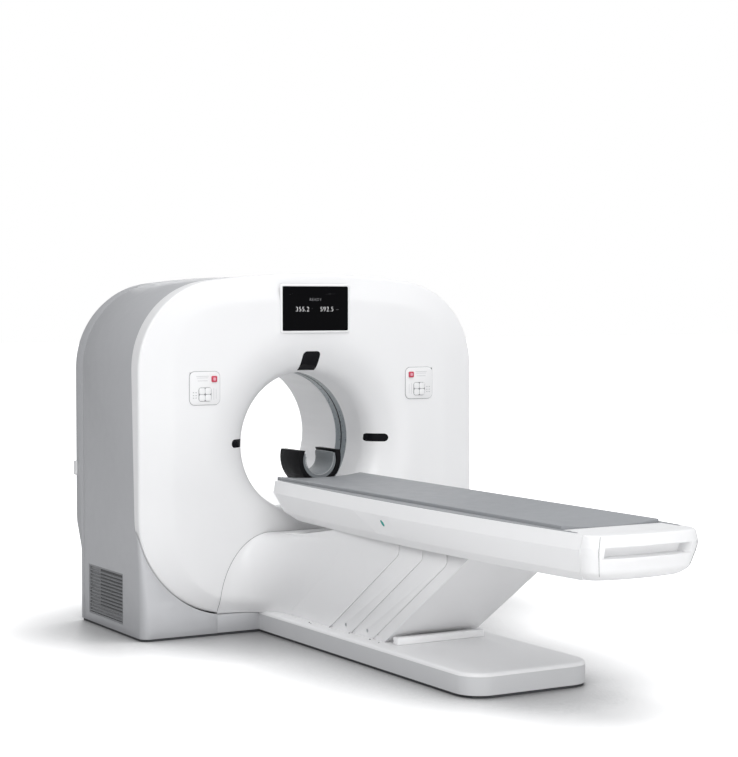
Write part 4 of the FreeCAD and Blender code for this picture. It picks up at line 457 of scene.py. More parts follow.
rise, run = THROAT - FACE, MOUTH - BORE - TIGHT
WIDE = (run**2 + rise**2 - TIGHT**2) / (2 * (rise - TIGHT))
BEND = math.degrees(math.atan2(rise - WIDE, -run))
funnel = arc_points((BORE + TIGHT, THROAT), TIGHT, 180, 360 + BEND, 9)
funnel += arc_points((MOUTH, FACE + WIDE), WIDE, 360 + BEND, 270, 14)[1:]

rings = [circle(BORE, LINER_FRONT), circle(BORE, -0.12)] + [circle(radius, y) for radius, y in funnel]
bevel_reach = {share: cover_reach(*(ROUND + width * share for width in BEVEL)) for share in (1.1, 1.0, 0.9, 0.5)}
for share in (k / 20 for k in range(1, 20)):
    rings.append(around([MOUTH + (edge - MOUTH) * share for edge in bevel_reach[1.1]], FACE))
for share, drop in ((1.1, 0), (1.0, 0.0007), (0.9, 0.0026), (0.5, 0.013)):
    rings.append(around(bevel_reach[share], FACE + drop))
for turn in (math.radians(degrees) for degrees in (90, 67, 45, 22, 0)):
    rings.append(around(cover_reach(ROUND * (1 - math.cos(turn))), RIM + ROUND * (1 - math.sin(turn))))
for draw in (0, LIP_WALL):
    reaches = cover_reach(draw)
    rings.append(around(reaches, [seam_depth(AXIS + reach * math.sin(turn)) - 0.001
                                  for reach, turn in zip(reaches, TURN)]))
rings.append(around(cover_reach(LIP_WALL), LIP_BACK))
bm = skin(rings)
under_panels = [face for face in bm.faces
                if all(abs(abs(vertex.co.x) - PANEL_X) < PANEL_OPENING
                       and abs(vertex.co.z - PANEL_Z) < PANEL_OPENING for vertex in face.verts)]
bmesh.ops.delete(bm, geom=under_panels, context="FACES")
piece("front_moulding", bm, GANTRY, "cover_white", ["front_cover"], crease=30)


def face_depth(x, z):
    """Depth of the front cover's surface inside its bevel."""
    radius = math.hypot(x, z - AXIS)
    if radius >= MOUTH:
        return FACE
    if radius > BORE + TIGHT + TIGHT * math.cos(math.radians(BEND)):
        return FACE + WIDE - math.sqrt(max(WIDE**2 - (MOUTH - radius) ** 2, 0))
    return THROAT - math.sqrt(max(TIGHT**2 - (BORE + TIGHT - radius) ** 2, 0))


# %% [markdown]
# The display is a black glass in a white surround that stands a little ahead of the cover. On a real machine
# the surround is glued on with soft tape. It is drawn as rounded rectangles one inside the other: up the outer
# wall, over a soft edge, and down again to the glass. The numbers and the status word are text curves, made
# into meshes and laid on the glass, and they glow a little.

# %% Display
DISPLAY, SURROUND_HALF, GLASS_HALF = (0.0, 1.588), (0.1975, 0.1225), (0.185, 0.110)
PRINT_Y, NUMBER_Z, STATE_Z, SMALL_Z = FACE - 0.0064, 1.584, 1.632, 1.661


def stack(centre, half_u, half_v, radius, levels, close_last=True):
    """Rounded rectangles in an upright plane, one for each (inset, y) level."""
    rings = [[Vector((centre[0] + u, y, centre[1] + v))
              for u, v in rounded(half_u - inset, half_v - inset, radius - inset)] for inset, y in levels]
    return skin(rings, close_last=close_last)


surround = [(0, 0.001), (0, -0.003), (0.001, -0.0055), (0.0035, -0.0075), (0.007, -0.008), (0.0108, -0.008),
            (0.0118, -0.007), (0.0125, -0.003)]
piece("display_frame", stack(DISPLAY, *SURROUND_HALF, 0.014, [(inset, FACE + y) for inset, y in surround],
                             close_last=False), GANTRY, "cover_white", ["display_surround"])
glass = [(0, -0.001), (0, -0.0055), (0.0006, -0.0062)]
screen = finish("screen_glass", (0.003, 0.003, 0.0035), drift=0.2, roughness=0.08, spread=0.02, grain=60,
                depth=0.00001, specular=0.05)
piece("display_screen", stack(DISPLAY, *GLASS_HALF, 0.009, [(inset, FACE + y) for inset, y in glass]), GANTRY,
      "dark_film", ["display_glass"], own_finish=screen)


def lettering(name, rows, glow_colour, strength):
    """Flat writing on the glass: rows of (words, x, z, height)."""
    bm = bmesh.new()
    for words, x, z, height in rows:
        curve = bpy.data.curves.new("words", "FONT")
        curve.body, curve.size, curve.align_x, curve.align_y = words, height, "CENTER", "CENTER"
        curve.offset = -0.024 * height
        curve.space_character = 1.08
        helper = bpy.data.objects.new("words", curve)
        mesh = bpy.data.meshes.new_from_object(helper)
        mesh.transform(Matrix.Translation((x, PRINT_Y, z)) @ Matrix.Rotation(math.pi / 2, 4, "X"))
        bm.from_mesh(mesh)
        bpy.data.objects.remove(helper)
        bpy.data.meshes.remove(mesh)
    ink, tree, shader, place = new_material(name)
    shader.inputs["Roughness"].default_value = 0.5
    shader.inputs["Emission Strength"].default_value = strength
    colour = blend_colours(tree, noise(tree, place, 90), [c * 0.9 for c in glow_colour], glow_colour)
    for socket in ("Emission Color", "Base Color"):
        feed(tree, shader.inputs[socket], colour)
    piece(name, bm, GANTRY, "key_grey", own_finish=ink)


lettering("display_numbers", [("355.2", -0.074, NUMBER_Z, 0.033), ("592.5", 0.064, NUMBER_Z, 0.033)],
          (0.80, 0.80, 0.81), 0.55)
lettering("display_state", [("READY", 0.0, STATE_Z, 0.021), ("o", -0.018, NUMBER_Z + 0.006, 0.009),
                            ("mm", 0.122, NUMBER_Z - 0.001, 0.009), ("- -- -", -0.140, SMALL_Z, 0.008),
                            ("-- --- --  - --", 0.084, SMALL_Z, 0.008)], (0.28, 0.28, 0.29), 0.25)

# %% [markdown]
# Three dark windows let the positioning lasers out: one on each side of the bore and one above it. They are
# thin acrylic, bent to the funnel. Each is a set of outlines that shrink to the middle, and each point takes
# its depth from the cover's own surface, so the window lies on the funnel everywhere. The side windows are
# pills that are rounder at their outer end, and the upper one is a tab that hangs into the bore.

# %% Laser windows
FILM_LIFT = 0.0008
PILL_MIDDLE, PILL_HALF_LONG, PILL_HALF_HIGH, PILL_INNER_ROUND = (0.399, AXIS + 0.010), 0.0465, 0.0205, 0.0085
TAB_HALF, TAB_LOW, TAB_HIGH, TAB_ROUND = 0.049, AXIS + 0.3605, AXIS + 0.458, 0.022


def laser_film(name, outline, middle):
    """A thin film that follows the front cover's surface."""
    rings = []
    for share in (1.0, 0.985, 0.9, 0.75, 0.6, 0.45, 0.3, 0.15, 0.02):
        ring = []
        for x, z in dense(outline, 0.004):
            x, z = middle[0] + (x - middle[0]) * share, middle[1] + (z - middle[1]) * share
            ring.append(Vector((x, face_depth(x, z) - (FILM_LIFT if share < 1 else 0), z)))
        rings.append(ring)
    piece(name, skin(rings, close_last=True), GANTRY, "dark_film", [name.replace("film_", "laser_window_")])


for side, sign in SIDES:
    middle = (sign * PILL_MIDDLE[0], PILL_MIDDLE[1])
    shape = []
    for way, radius, start in ((1, PILL_HALF_HIGH, -90), (-1, PILL_INNER_ROUND, 90)):
        for half, turn in ((-1, start), (1, start + 90)):
            corner = (way * (PILL_HALF_LONG - radius), way * half * (PILL_HALF_HIGH - radius))
            shape += arc_points(corner, radius, turn, turn + 90, 8)
    laser_film(f"film_{side}", [(middle[0] + sign * u, middle[1] + v) for u, v in shape], middle)

bend_x, bend_z = TAB_HALF - TAB_ROUND, TAB_HIGH - TAB_ROUND
shape = arc_points((bend_x, bend_z), TAB_ROUND, 0, 90, 8) + arc_points((-bend_x, bend_z), TAB_ROUND, 90, 180, 8)
for start, end in (((-TAB_HALF, bend_z), (-TAB_HALF, TAB_LOW)), ((-TAB_HALF, TAB_LOW), (TAB_HALF, TAB_LOW)),
                   ((TAB_HALF, TAB_LOW), (TAB_HALF, bend_z))):
    shape += run_points(start, end, 10)
laser_film("film_top", shape[:-1], (0, (TAB_LOW + TAB_HIGH) / 2))

# %% [markdown]
# Plastic covers have no sharp edges: the mould is always rounded a little, and the round is what catches the
# light. The CAD solids are sharp, so each visible one is copied, its flat faces are merged into whole faces,
# and its edges get a small bevel. The copy then stands for the CAD node on the same body. The table's shell
# keeps its long facets, as the real one has them, and only the rim of the rear cover is grey.

# %% Softened copies of the moulded parts
WHITE_BACK = 0.605


def softened(node, width, segments=2, angle=28, crease=32):
    """A copy of a CAD node with rounded edges."""
    bm = bmesh.new()
    bm.from_mesh(nodes[node].data)
    bmesh.ops.remove_doubles(bm, verts=bm.verts, dist=2e-5)
    bmesh.ops.dissolve_degenerate(bm, edges=bm.edges, dist=1e-5)
    bmesh.ops.dissolve_limit(bm, angle_limit=math.radians(0.5), verts=bm.verts, edges=bm.edges)
    sharp = [edge for edge in bm.edges if edge.is_manifold and edge.calc_face_angle(0) > math.radians(angle)]
    bmesh.ops.bevel(bm, geom=sharp, offset=width, offset_type="OFFSET", segments=segments, profile=0.5,
                    affect="EDGES", clamp_overlap=True, material=-1)
    return piece("soft_" + node, bm, nodes[node]["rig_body"], slot_of[node], [node], crease)


softened("table_shell", 0.002, segments=1, angle=18, crease=13)
rear = softened("rear_cover", 0.003)
rear.data.materials.append(paint["cover_grey"])
for face in rear.data.polygons:
    face.material_index = int(math.hypot(face.center.x, face.center.z - AXIS) > WHITE_BACK)
for node, width in (("head_holder", 0.0015), ("cradle", 0.003), ("side_cover_left", 0.003),
                    ("side_cover_right", 0.003), ("foot_rail", 0.004), ("side_plate_2_left", 0.0015),
                    ("side_plate_2_right", 0.0015), ("side_plate_3_left", 0.0015),
                    ("side_plate_3_right", 0.0015), ("sloped_plate", 0.0015)):
    softened(node, width)

# %% [markdown]
# Each control panel is a thin white plate with a narrow shadow gap round it. It has a crimson stop key in the
# corner next to the bore, which can be found without looking, and a pad of four keys that move the table. The
# stop key and the pad ride on bodies of their own, so they go in when they are pressed. All are stacks of
# rounded rectangles. Print is drawn as faint lines and dots that stand a hair proud of the plate.

# %% Control panels
# Painted shade: this dark grey stands for the shade inside narrow gaps, in the panels' shadow gaps, the seams and
# round the keys.
gap_shade_grey = finish("painted_gap_shade", (0.26, 0.26, 0.27), roughness=0.7)
print_grey = finish("print_grey", (0.52, 0.52, 0.53), roughness=0.7)
stop_mark = finish("stop_mark", (0.80, 0.38, 0.46), roughness=0.4)
PANEL_HALF, PANEL_ROUND, PLATE = 0.080, 0.026, -0.360
STOP_AWAY, STOP_UP, PAD_DOWN, KEY_STEP = 0.049, 0.044, 0.030, 0.0163
STOP_FACE, PAD_FACE, KEY_FACE = -0.3668, -0.3624, -0.3632


def plate(name, centre, half_u, half_v, radius, back, front, body, slot, stands_for=(), own_finish=None,
          edge=0.0012):
    """A rounded plate in an upright plane with a soft front edge."""
    levels = [(0, back), (0, front + edge), (edge * 0.3, front + edge * 0.3), (edge, front)]
    piece(name, stack(centre, half_u, half_v, radius, levels), body, slot, stands_for, own_finish=own_finish)


def marks(name, spots):
    """Thin printed marks on a panel: rows of (x, z, half width, half height)."""
    bm = bmesh.new()
    for x, z, half_u, half_v in spots:
        made = bmesh.ops.create_cube(bm, size=1)["verts"]
        bmesh.ops.scale(bm, vec=(2 * half_u, 0.0006, 2 * half_v), verts=made)
        bmesh.ops.translate(bm, vec=(x, PLATE - 0.0001, z), verts=made)
    piece(name, bm, GANTRY, "key_grey", own_finish=print_grey)


for side, sign in SIDES:
    middle = (sign * PANEL_X, PANEL_Z)
    x, z = middle
    gap = [(-0.0021, FACE + 0.0005), (-0.0021, FACE - 0.0006), (0.001, FACE - 0.0006)]
    # The gap ring is painted shade: dark grey where the shade of the gap round the plate falls.
    piece(f"panel_gap_{side}", stack(middle, PANEL_HALF, PANEL_HALF, PANEL_ROUND, gap, close_last=False), GANTRY,
          "key_grey", own_finish=gap_shade_grey)
    plate(f"panel_{side}", middle, PANEL_HALF, PANEL_HALF, PANEL_ROUND, FACE + 0.001, PLATE, GANTRY,
          "cover_white", [f"control_panel_{side}"])
    stop = (sign * (PANEL_X - STOP_AWAY), z + STOP_UP)
    plate(f"stop_key_{side}", stop, 0.0142, 0.0148, 0.005, FACE - 0.001, STOP_FACE, f"stop_{side}", "button_red",
          [f"stop_button_{side}"], edge=0.002)
    plate(f"stop_cap_{side}", stop, 0.0075, 0.008, 0.004, STOP_FACE + 0.0008, STOP_FACE - 0.0004, f"stop_{side}",
          "button_red", own_finish=stop_mark)
    pad = (x, z - PAD_DOWN)
    # The pad's back shows only in the narrow gaps round its keys, so it takes the painted gap shade.
    plate(f"pad_back_{side}", pad, 0.0338, 0.0338, 0.013, FACE - 0.001, PAD_FACE, f"pad_{side}", "key_grey",
          [f"key_pad_{side}"], own_finish=gap_shade_grey)
    for column, row in ((-1, -1), (-1, 1), (1, -1), (1, 1)):
        key = (pad[0] + column * KEY_STEP, pad[1] + row * KEY_STEP)
        plate(f"pad_key_{side}_{column + 2}{row + 2}", key, 0.0153, 0.0153, 0.008, PAD_FACE + 0.0002, KEY_FACE,
              f"pad_{side}", "cover_white", edge=0.0006)
    long_lines = [(x + sign * 0.012, z + up, reach, 0.0009)
                  for up, reach in ((0.058, 0.034), (0.050, 0.030), (0.036, 0.026))]
    key_signs = [(x + sign * out, z - down, 0.0035, 0.0022)
                 for out in (0.047, 0.061) for down in (0.020, 0.034, 0.046)]
    upright_lines = [(x - sign * 0.047, z - 0.028, 0.0008, 0.028), (x - sign * 0.060, z - 0.028, 0.0006, 0.024)]
    dots = [(x + sign * out, z - 0.002, 0.003, 0.0015) for out in (-0.01, 0.0, 0.012)]
    marks(f"panel_print_{side}", long_lines + key_signs + upright_lines + dots)

# %% [markdown]
# The beam leaves the bore through a ring of grey film. A dark slit in its middle is the film's clear part, and
# a light lip on each side holds the film in the bore liner. These rings are circles drawn along the axis.

# %% Scan window
LIP_RADIUS, LIP_ROUND, LINER_REAR = 0.3505, 0.0022, 0.0593


def bore_ring(name, section, slot, own_finish=None):
    rings = [circle(radius, y) for radius, y in section]
    piece(name, skin(rings), GANTRY, slot, own_finish=own_finish)


bore_ring("scan_slit", [(0.3505, -0.0052), (0.3490, -0.0048), (0.3490, 0.0048), (0.3505, 0.0052)], "dark_film")
lip = finish("liner_lip", (0.62, 0.63, 0.64), roughness=0.35)
for name, y in (("front", LINER_FRONT), ("rear", LINER_REAR)):
    bore_ring(f"liner_lip_{name}", arc_points((LIP_RADIUS, y), LIP_ROUND, -70, -290, 8), "cover_white", lip)

# %% [markdown]
# The moulding between gantry and table flares out of the front cover. In plan each height is a hollow quarter
# ellipse that leaves the flat face without a step and turns into the upright side of the pedestal. A smooth
# skin goes over the CAD solid here: it starts on the cover's own surface, and its last ring sinks into the
# solid. The rest of the moulding is a copy of the CAD node without its own, more angular flare.

# %% Transition skin
SLOPE = math.tan(math.radians(33.5))
ARCH, ARCH_TOP, SIDE_X, SIDE_ROUND, SIDE_SHARE = 0.530, 0.487, 0.250, 0.030, 0.85
DECK_START, DECK_KNEE, DECK_END, KNEE_RISE, END_RISE = 0.356, 0.616, 1.050, 0.014, 0.071
FLARE_FOOT, FLARE_LIMIT, LIFT_FROM, PROUD = -0.526, -1.045, 0.40, 0.0008


def cover_depth(x, z):
    """Depth of the front cover near its lower edge, bevel and rim included."""
    corner = max(0.0, abs(x) - (HALF_WIDTH - FOOT_CORNER))
    above = z - LOW - (FOOT_CORNER - math.sqrt(FOOT_CORNER**2 - corner**2))
    if above < ROUND:
        return RIM + 0.004 + 0.3 * max(0.0, ROUND - above)
    return RIM + (FACE - RIM) * min(1.0, (above - ROUND) / BEVEL[2])


def deck_height(y):
    """The deck rises a little up to its knee and faster from there on."""
    ahead = -y
    if ahead < DECK_KNEE:
        return ARCH_TOP + KNEE_RISE * max(0.0, (ahead - DECK_START) / (DECK_KNEE - DECK_START))
    return ARCH_TOP + KNEE_RISE + END_RISE * (ahead - DECK_KNEE) / (DECK_END - DECK_KNEE)


def side_profile(share):
    """Seam point and pedestal point at one share of the height."""
    turn = math.radians(90 * share)
    seam = (SIDE_X + (ARCH - SIDE_X) * math.cos(turn), LOW + (ARCH_TOP - LOW) * math.sin(turn))
    if share <= SIDE_SHARE:
        return seam, (SIDE_X, LOW + (ARCH_TOP - SIDE_ROUND - LOW) * share / SIDE_SHARE)
    turn = math.radians(90 * (share - SIDE_SHARE) / (1 - SIDE_SHARE))
    return seam, (SIDE_X - SIDE_ROUND * (1 - math.cos(turn)), ARCH_TOP - SIDE_ROUND * (1 - math.sin(turn)))


def transition_ring(turn_degrees, sink=0.0, back=0.0):
    """One section of the flare, from the seam at 0 degrees to the pedestal's side at 90."""
    turn = math.radians(turn_degrees)
    left = []
    for count in range(25):
        (seam_x, seam_z), (side_x, side_z) = side_profile(count / 24)
        open_share = 1 - math.sin(turn)
        x, z = side_x + (seam_x - side_x) * open_share, side_z + (seam_z - side_z) * open_share
        start = cover_depth(seam_x, seam_z) - 0.0004
        fold = max(FLARE_FOOT - (z - LOW) / SLOPE, FLARE_LIMIT)
        y = fold + (start - fold) * math.cos(turn) + back
        lifted = (deck_height(y) - ARCH_TOP) * max(0.0, (z - LIFT_FROM) / (ARCH_TOP - LIFT_FROM))
        left.append(Vector((-x + sink - PROUD, y, z + lifted - sink + PROUD)))
    right = [Vector((-point.x, point.y, point.z)) for point in reversed(left)]
    deck = [left[-1].lerp(right[0], k / 11) for k in range(1, 11)]
    return left + deck + right


rings = [transition_ring(0, back=0.006)] + [transition_ring(turn) for turn in range(0, 91, 5)]
rings.append(transition_ring(90, sink=0.004))
piece("transition_flare", skin(rings), GANTRY, "cover_white", crease=40)

bm = bmesh.new()
bm.from_mesh(nodes["transition_cover"].data)
bmesh.ops.remove_doubles(bm, verts=bm.verts, dist=2e-5)
flare = [face for face in bm.faces if abs(face.calc_center_median().x) > SIDE_X + 0.0012]
bmesh.ops.delete(bm, geom=flare, context="FACES")
piece("transition_body", bm, GANTRY, "cover_white", ["transition_cover"], crease=30)

# %% [markdown]
# A narrow shadow gap runs between the front cover and the flare. A real gap would need both mouldings cut back,
# so it is drawn as a thin cord of dark grey that follows the flare's first ring. The same cord serves later
# for the cushion's piping and for the seams of the end cap.

# %% Transition seam
CORD_SIDES = 8


def cord_along(name, path, radius, body, own_finish):
    """A thin round cord along a path that bends gently."""
    rings = []
    for number, point in enumerate(path):
        ahead = path[min(number + 1, len(path) - 1)] - path[max(number - 1, 0)]
        aside = Vector((0, -1, 0)) if abs(ahead.normalized().y) < 0.9 else Vector((1, 0, 0))
        first = ahead.cross(aside).normalized()
        second = ahead.cross(first).normalized()
        rings.append([point + (first * math.cos(t) + second * math.sin(t)) * radius
                      for t in (2 * math.pi * k / CORD_SIDES for k in range(CORD_SIDES))])
    piece(name, skin(rings, True, True), body, "key_grey", own_finish=own_finish)


seam_path = [point + Vector((0, 0.0003, 0)) for point in transition_ring(0)]
# The cord's dark grey is painted shade, the shade inside the gap.
cord_along("transition_seam", seam_path, 0.0012, GANTRY, gap_shade_grey)

# %% [markdown]
# The table's base cover is a low box with grey sides and a lighter top. Its rounded upper edge takes a bright
# line of light, so the round is drawn with seven rings. The skirt beside it closes the front of the gantry and
# is a plain box with bevelled edges.

# %% Base cover and centre skirt
BASE_HALF, BASE_START, BASE_END, BASE_CORNER = 0.318, -0.352, -2.250, 0.112
BASE_TOP, BASE_ROUND = 0.105, 0.016


def base_ring(z, inset):
    """The base's plan at one height: two long sides and a rounded far end."""
    half, end, corner = BASE_HALF - inset, BASE_END + inset, BASE_CORNER - inset
    right = [(half, BASE_START + (end + corner - BASE_START) * k / 12) for k in range(12)]
    foot = arc_points((half - corner, end + corner), corner, 0, -90, 10)
    foot += arc_points((-half + corner, end + corner), corner, -90, -180, 10)
    left = [(-x, y) for x, y in reversed(right)]
    return [Vector((x, y, z)) for x, y in right + foot + left]


base_paint = finish("base_grey", (0.64, 0.645, 0.655), roughness=0.42, grain=1200)
piece("base_side", skin([base_ring(z, 0) for z in (0.012, 0.05, BASE_TOP - BASE_ROUND)]), GANTRY, "cover_white",
      ["table_base_cover"], own_finish=base_paint)
base_round = [base_ring(BASE_TOP - BASE_ROUND * (1 - math.sin(t)), BASE_ROUND * (1 - math.cos(t)))
              for t in (math.radians(15 * k) for k in range(7))]
piece("base_top", skin(base_round, close_last=True), GANTRY, "cover_white")


def bevelled_box(name, low, high, width, body, slot, own_finish=None, segments=3):
    """A box between two corners with rounded edges."""
    bm = bmesh.new()
    bmesh.ops.create_cube(bm, size=1)
    bmesh.ops.scale(bm, vec=[b - a for a, b in zip(low, high)], verts=bm.verts)
    bmesh.ops.translate(bm, vec=[(a + b) / 2 for a, b in zip(low, high)], verts=bm.verts)
    bmesh.ops.bevel(bm, geom=bm.edges[:], offset=width, offset_type="OFFSET", segments=segments, profile=0.5,
                    affect="EDGES", material=-1)
    piece(name, bm, body, slot, own_finish=own_finish)


bevelled_box("centre_skirt", (-0.5450, -0.3610, 0.012), (0.5450, -0.300, 0.0975), 0.0025, GANTRY, "cover_grey")

# %% [markdown]
# The head holder is a black trough. Its foam lining is soft: thickest in the middle, thinner where it draws in
# at both ends, and round at its lips. Every ring is one section of the lining, out along the trough and back
# along the inside, so the crown comes from moving the inner half only. A cord of piping closes its front edge.

# %% Head cushion
CUSHION_START, CUSHION_END, CUSHION_AXIS, CUSHION_OUTER, LIP_UP = -0.402, -0.211, 0.836, 0.0944, 0.027


def cushion_ring(share, shrink=0.0):
    """One section of the lining at a share of its length, drawn in by shrink."""
    y = CUSHION_START + (CUSHION_END - CUSHION_START) * share
    thick = 0.017 + 0.006 * math.sin(math.pi * share) ** 0.6 - shrink
    lip = math.degrees(math.asin(LIP_UP / CUSHION_OUTER))
    outside = arc_points((0, CUSHION_AXIS), CUSHION_OUTER - shrink / 2, lip, -180 - lip, 30)
    inside = [(x, z + 0.010 * max(0.0, (CUSHION_AXIS + 0.02 - z) / 0.09) ** 2)
              for x, z in arc_points((0, CUSHION_AXIS), CUSHION_OUTER - thick, -180 - lip + 3, lip - 3, 30)]
    half = thick / 2
    reach = math.cos(math.radians(lip)) * (CUSHION_OUTER - half)
    left_lip, right_lip = (arc_points((x, CUSHION_AXIS + LIP_UP), half, 180, 0, 4)[1:-1] for x in (-reach, reach))
    return [Vector((x, y, z)) for x, z in outside + left_lip + inside + right_lip]


rings = [cushion_ring(0.0, 0.006), cushion_ring(0.008, 0.003)] + [cushion_ring(k / 12) for k in range(1, 12)]
rings += [cushion_ring(0.992, 0.003), cushion_ring(1.0, 0.006)]
cushion_finish = finish("cushion_cover", (0.20, 0.215, 0.225), drift=0.05, roughness=0.55, grain=500,
                        depth=0.0006, patch=14)
cushion = piece("cushion", skin(rings, True, True), TABLETOP, "cushion_grey", ["head_cushion"],
                own_finish=cushion_finish)

piping = finish("cushion_piping", (0.36, 0.37, 0.38), roughness=0.5, grain=500, depth=0.0004, patch=14)
front_edge = [Vector((x, CUSHION_START - 0.0005, z))
              for x, z in arc_points((0, CUSHION_AXIS + 0.004), 0.0775, -190, 10, 40)]
cord_along("cushion_piping", front_edge, 0.0022, TABLETOP, piping)

# %% [markdown]
# The deck beside the sliding top has the same grey as the top and leaves a light rim along the shell. The
# shell's side is an arc in plan through three known points, so each strip's outer edge follows that arc.

# %% Deck strips
DECK_NEAR, DECK_LONG, RIM_WIDE, STRIP_IN, STRIP_LOW = -0.455, 2.42, 0.013, 0.2436, 0.7476


def half_width_at(y):
    """The shell's half width where its top edge is, from the arc through head, middle and foot."""
    (x1, y1), (x2, y2), (x3, y3) = (0.263, -0.452), (0.310, -1.400), (0.262, -2.934)
    across = 2 * (x1 * (y2 - y3) + x2 * (y3 - y1) + x3 * (y1 - y2))
    first, second, third = x1**2 + y1**2, x2**2 + y2**2, x3**2 + y3**2
    cx = (first * (y2 - y3) + second * (y3 - y1) + third * (y1 - y2)) / across
    cy = (first * (x3 - x2) + second * (x1 - x3) + third * (x2 - x1)) / across
    return cx + math.sqrt((x1 - cx) ** 2 + (y1 - cy) ** 2 - (y - cy) ** 2)


for side, sign in SIDES:
    rings = []
    for y in (DECK_NEAR - DECK_LONG * k / 24 for k in range(25)):
        edge = half_width_at(y) - RIM_WIDE
        section = [(STRIP_IN, STRIP_LOW), (STRIP_IN, 0.7500), (0.2460, 0.7506), (edge - 0.002, 0.7506),
                   (edge, 0.7498), (edge, STRIP_LOW)]
        rings.append([Vector((sign * x, y, z)) for x, z in section])
    piece(f"deck_strip_{side}", skin(rings, True, True), TABLE, "cradle_grey")

# %% [markdown]
# A small oval lamp on the shell shows that the table is ready. It is a flattened sphere that leans with the
# shell's side, and half of it sits inside the shell. A latch closes the cover at the gantry's rear edge. It is
# a small box with round edges, placed by the photograph.

# %% Indicator and latch


def pebble(name, centre, half_size, body, slot, stands_for=(), lean=0.0, sides=(16, 8)):
    """A squashed sphere for a lamp or a small mark; lean turns it about X, in degrees."""
    bm = bmesh.new()
    bmesh.ops.create_uvsphere(bm, u_segments=sides[0], v_segments=sides[1], radius=1)
    bmesh.ops.scale(bm, vec=half_size, verts=bm.verts)
    bmesh.ops.rotate(bm, cent=(0, 0, 0), matrix=Matrix.Rotation(math.radians(lean), 3, "X"), verts=bm.verts)
    bmesh.ops.translate(bm, vec=centre, verts=bm.verts)
    piece(name, bm, body, slot, stands_for)


pebble("indicator_lamp", (-0.3168, -1.546, 0.660), (0.0045, 0.0250, 0.0085), TABLE, "indicator_teal",
       ["table_indicator"], lean=41, sides=(16, 12))
bevelled_box("rear_latch", (-0.9485, 0.457, 0.737), (-0.936, 0.490, 0.809), 0.003, GANTRY, "cover_white")

# %% [markdown]
# The table ends in a cap with a lip to pull the table by. The cap is drawn ring by ring from the top down: the
# corners are quick curves, the end is slightly bowed, and at the height of the hand slot the rings step inward,
# which leaves the lip above and a full, round belly below. A level says how far the plan draws in at a height.

# %% End cap
LEVELS = [(0.748, 0.000, 0.000, 0.010), (0.690, -0.014, 0.004, 0.000), (0.602, 0.008, 0.028, 0.026),
          (0.567, 0.034, 0.044, 0.058)]
CAP_HALF, CAP_SEAM, CAP_END, CAP_CORNER, CAP_BOW = 0.2615, -2.9350, -3.026, 0.084, 0.0115
SLOT_LOW, SLOT_HIGH, SLOT_SOFT = -0.214, 0.196, 0.020


def cap_level(z):
    """Inset, seam setback and end setback of the cap's plan at one height."""
    for above, below in zip(LEVELS, LEVELS[1:]):
        if z >= below[0]:
            share = (above[0] - z) / (above[0] - below[0])
            return [a + (b - a) * share for a, b in zip(above[1:], below[1:])]
    return LEVELS[-1][1:]


def cap_ring(z, shrink=0.0, notch=0.0):
    """The cap's plan at one height, drawn in by shrink and pushed in by notch where the hand slot is."""
    inset, seam_back, end_back = cap_level(z)
    half = CAP_HALF - inset - shrink
    seam, end = CAP_SEAM + seam_back, CAP_END + end_back + shrink
    run = half - CAP_CORNER
    curve = ((half, seam), (half, end + 0.024), (run, end + CAP_BOW))
    right = [tuple((1 - t) ** 2 * a + 2 * t * (1 - t) * b + t * t * c for a, b, c in zip(*curve))
             for t in (k / 12 for k in range(13))]
    face = [(x, end + CAP_BOW * (x / run) ** 2) for x in (run - 2 * run * k / 40 for k in range(1, 40))]
    left = [(-x, y) for x, y in reversed(right)]
    ring = []
    for x, y in right + face + left:
        inside = min(1.0, max(0.0, min(x - SLOT_LOW, SLOT_HIGH - x) / SLOT_SOFT))
        ring.append(Vector((x, y + notch * inside * inside * (3 - 2 * inside), z)))
    return ring


top_edge = [(0.7478, 0.010), (0.7474, 0.005), (0.7455, 0.0015), (0.742, 0), (0.72, 0), (0.7045, 0)]
hand_slot = [(0.7025, 0, 0.0015), (0.7015, 0, 0.006), (0.7010, 0, 0.052), (0.6615, 0, 0.056), (0.6600, 0, 0.006),
             (0.6590, 0, 0.0015)]
belly = [(0.656,), (0.645,), (0.630,), (0.615,), (0.604,), (0.594, 0.0005), (0.584, 0.0020), (0.576, 0.0055),
         (0.570, 0.0115), (0.567, 0.0220), (0.5665, 0.0400)]
piece("end_cap", skin([cap_ring(*row) for row in top_edge + hand_slot + belly], True, True), TABLE,
      "cover_white", ["table_end_cap"], crease=38)
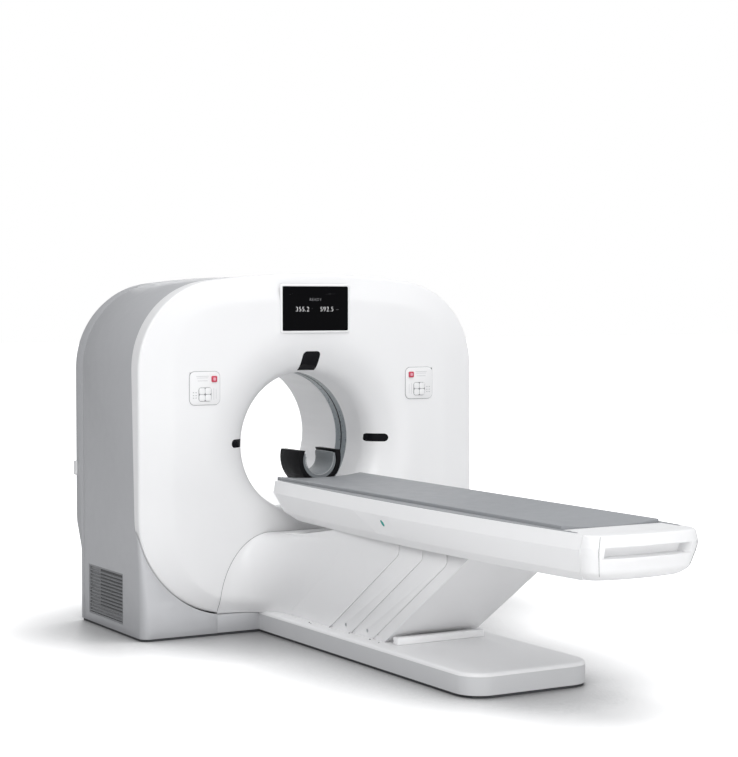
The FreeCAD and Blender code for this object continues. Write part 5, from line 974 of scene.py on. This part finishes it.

# %% [markdown]
# The cap meets the shell in a thin seam at each corner, and shade falls into it. The seams are cords of painted
# shade that follow one point of the cap's rings from height to height, so they lie on its surface.

# %% Seams of the end cap
SEAM_LEVELS = (0.7045, 0.69, 0.67, 0.65, 0.63, 0.615, 0.600, 0.59)
for name, point, levels in (("cap_seam", 8, SEAM_LEVELS),
                            ("cap_seam_near", -9, (0.7440, 0.73, 0.715) + SEAM_LEVELS)):
    path = [cap_ring(z)[point] + Vector((-0.0003, -0.0003, 0)) for z in levels]
    # Each seam cord is painted shade, the shade inside the gap between cap and shell.
    cord_along(name, path, 0.0009, TABLE, gap_shade_grey)

# %% [markdown]
# A finger recess lies in the deck beside the sliding top, and screws hold the base cover along its left side.
# At this size they are dark spots, so flat pebbles are enough. The recess's pebble is painted shade, the
# shade that fills the hollow.

# %% Small dark marks
# Painted shade: the recess is a dark flat pebble that stands for the shade inside the hollow.
pebble("deck_recess", (-0.240, -2.815, 0.7487), (0.007, 0.014, 0.0012), TABLE, "dark_film")
spots = ((-0.2545, -0.959, 0.0032), (-0.2545, -1.146, 0.0036), (-0.2545, -1.333, 0.0044),
         (-0.275, -0.800, 0.0040), (-0.283, -0.830, 0.0026), (-0.262, -1.425, 0.0028))
for number, (x, y, radius) in enumerate(spots):
    pebble(f"base_spot_{number}", (x, y, BASE_TOP + 0.0005), (radius, 1.3 * radius, 0.4 * radius), GANTRY,
           "dark_film", sides=(12, 6))

# %% [markdown]
# Behind the louvres of the grille lies a filter mat, which keeps dust out and hides the frame. Over the fan
# it is darker. Both mats are thin sheets with soft edges, one in front of the other.

# %% Filter mats
MAT_THICK = 0.001

for side, sign in SIDES:
    for name, near, far, low, high, depth, tone in (("edge", -0.126, 0.306, 0.054, 0.298, 0.9290, 0.34),
                                                    ("fan", -0.120, 0.178, 0.095, 0.288, 0.9305, 0.13)):
        mat = finish(f"filter_{name}_{side}", (tone, tone * 1.01, tone * 1.03), drift=0.15, roughness=0.8, patch=60)
        x_low, x_high = sorted((sign * depth, sign * (depth - MAT_THICK)))
        bevelled_box(f"filter_{name}_{side}", (x_low, near, low), (x_high, far, high), 0.0003, GANTRY,
                     "dark_grille", own_finish=mat, segments=1)
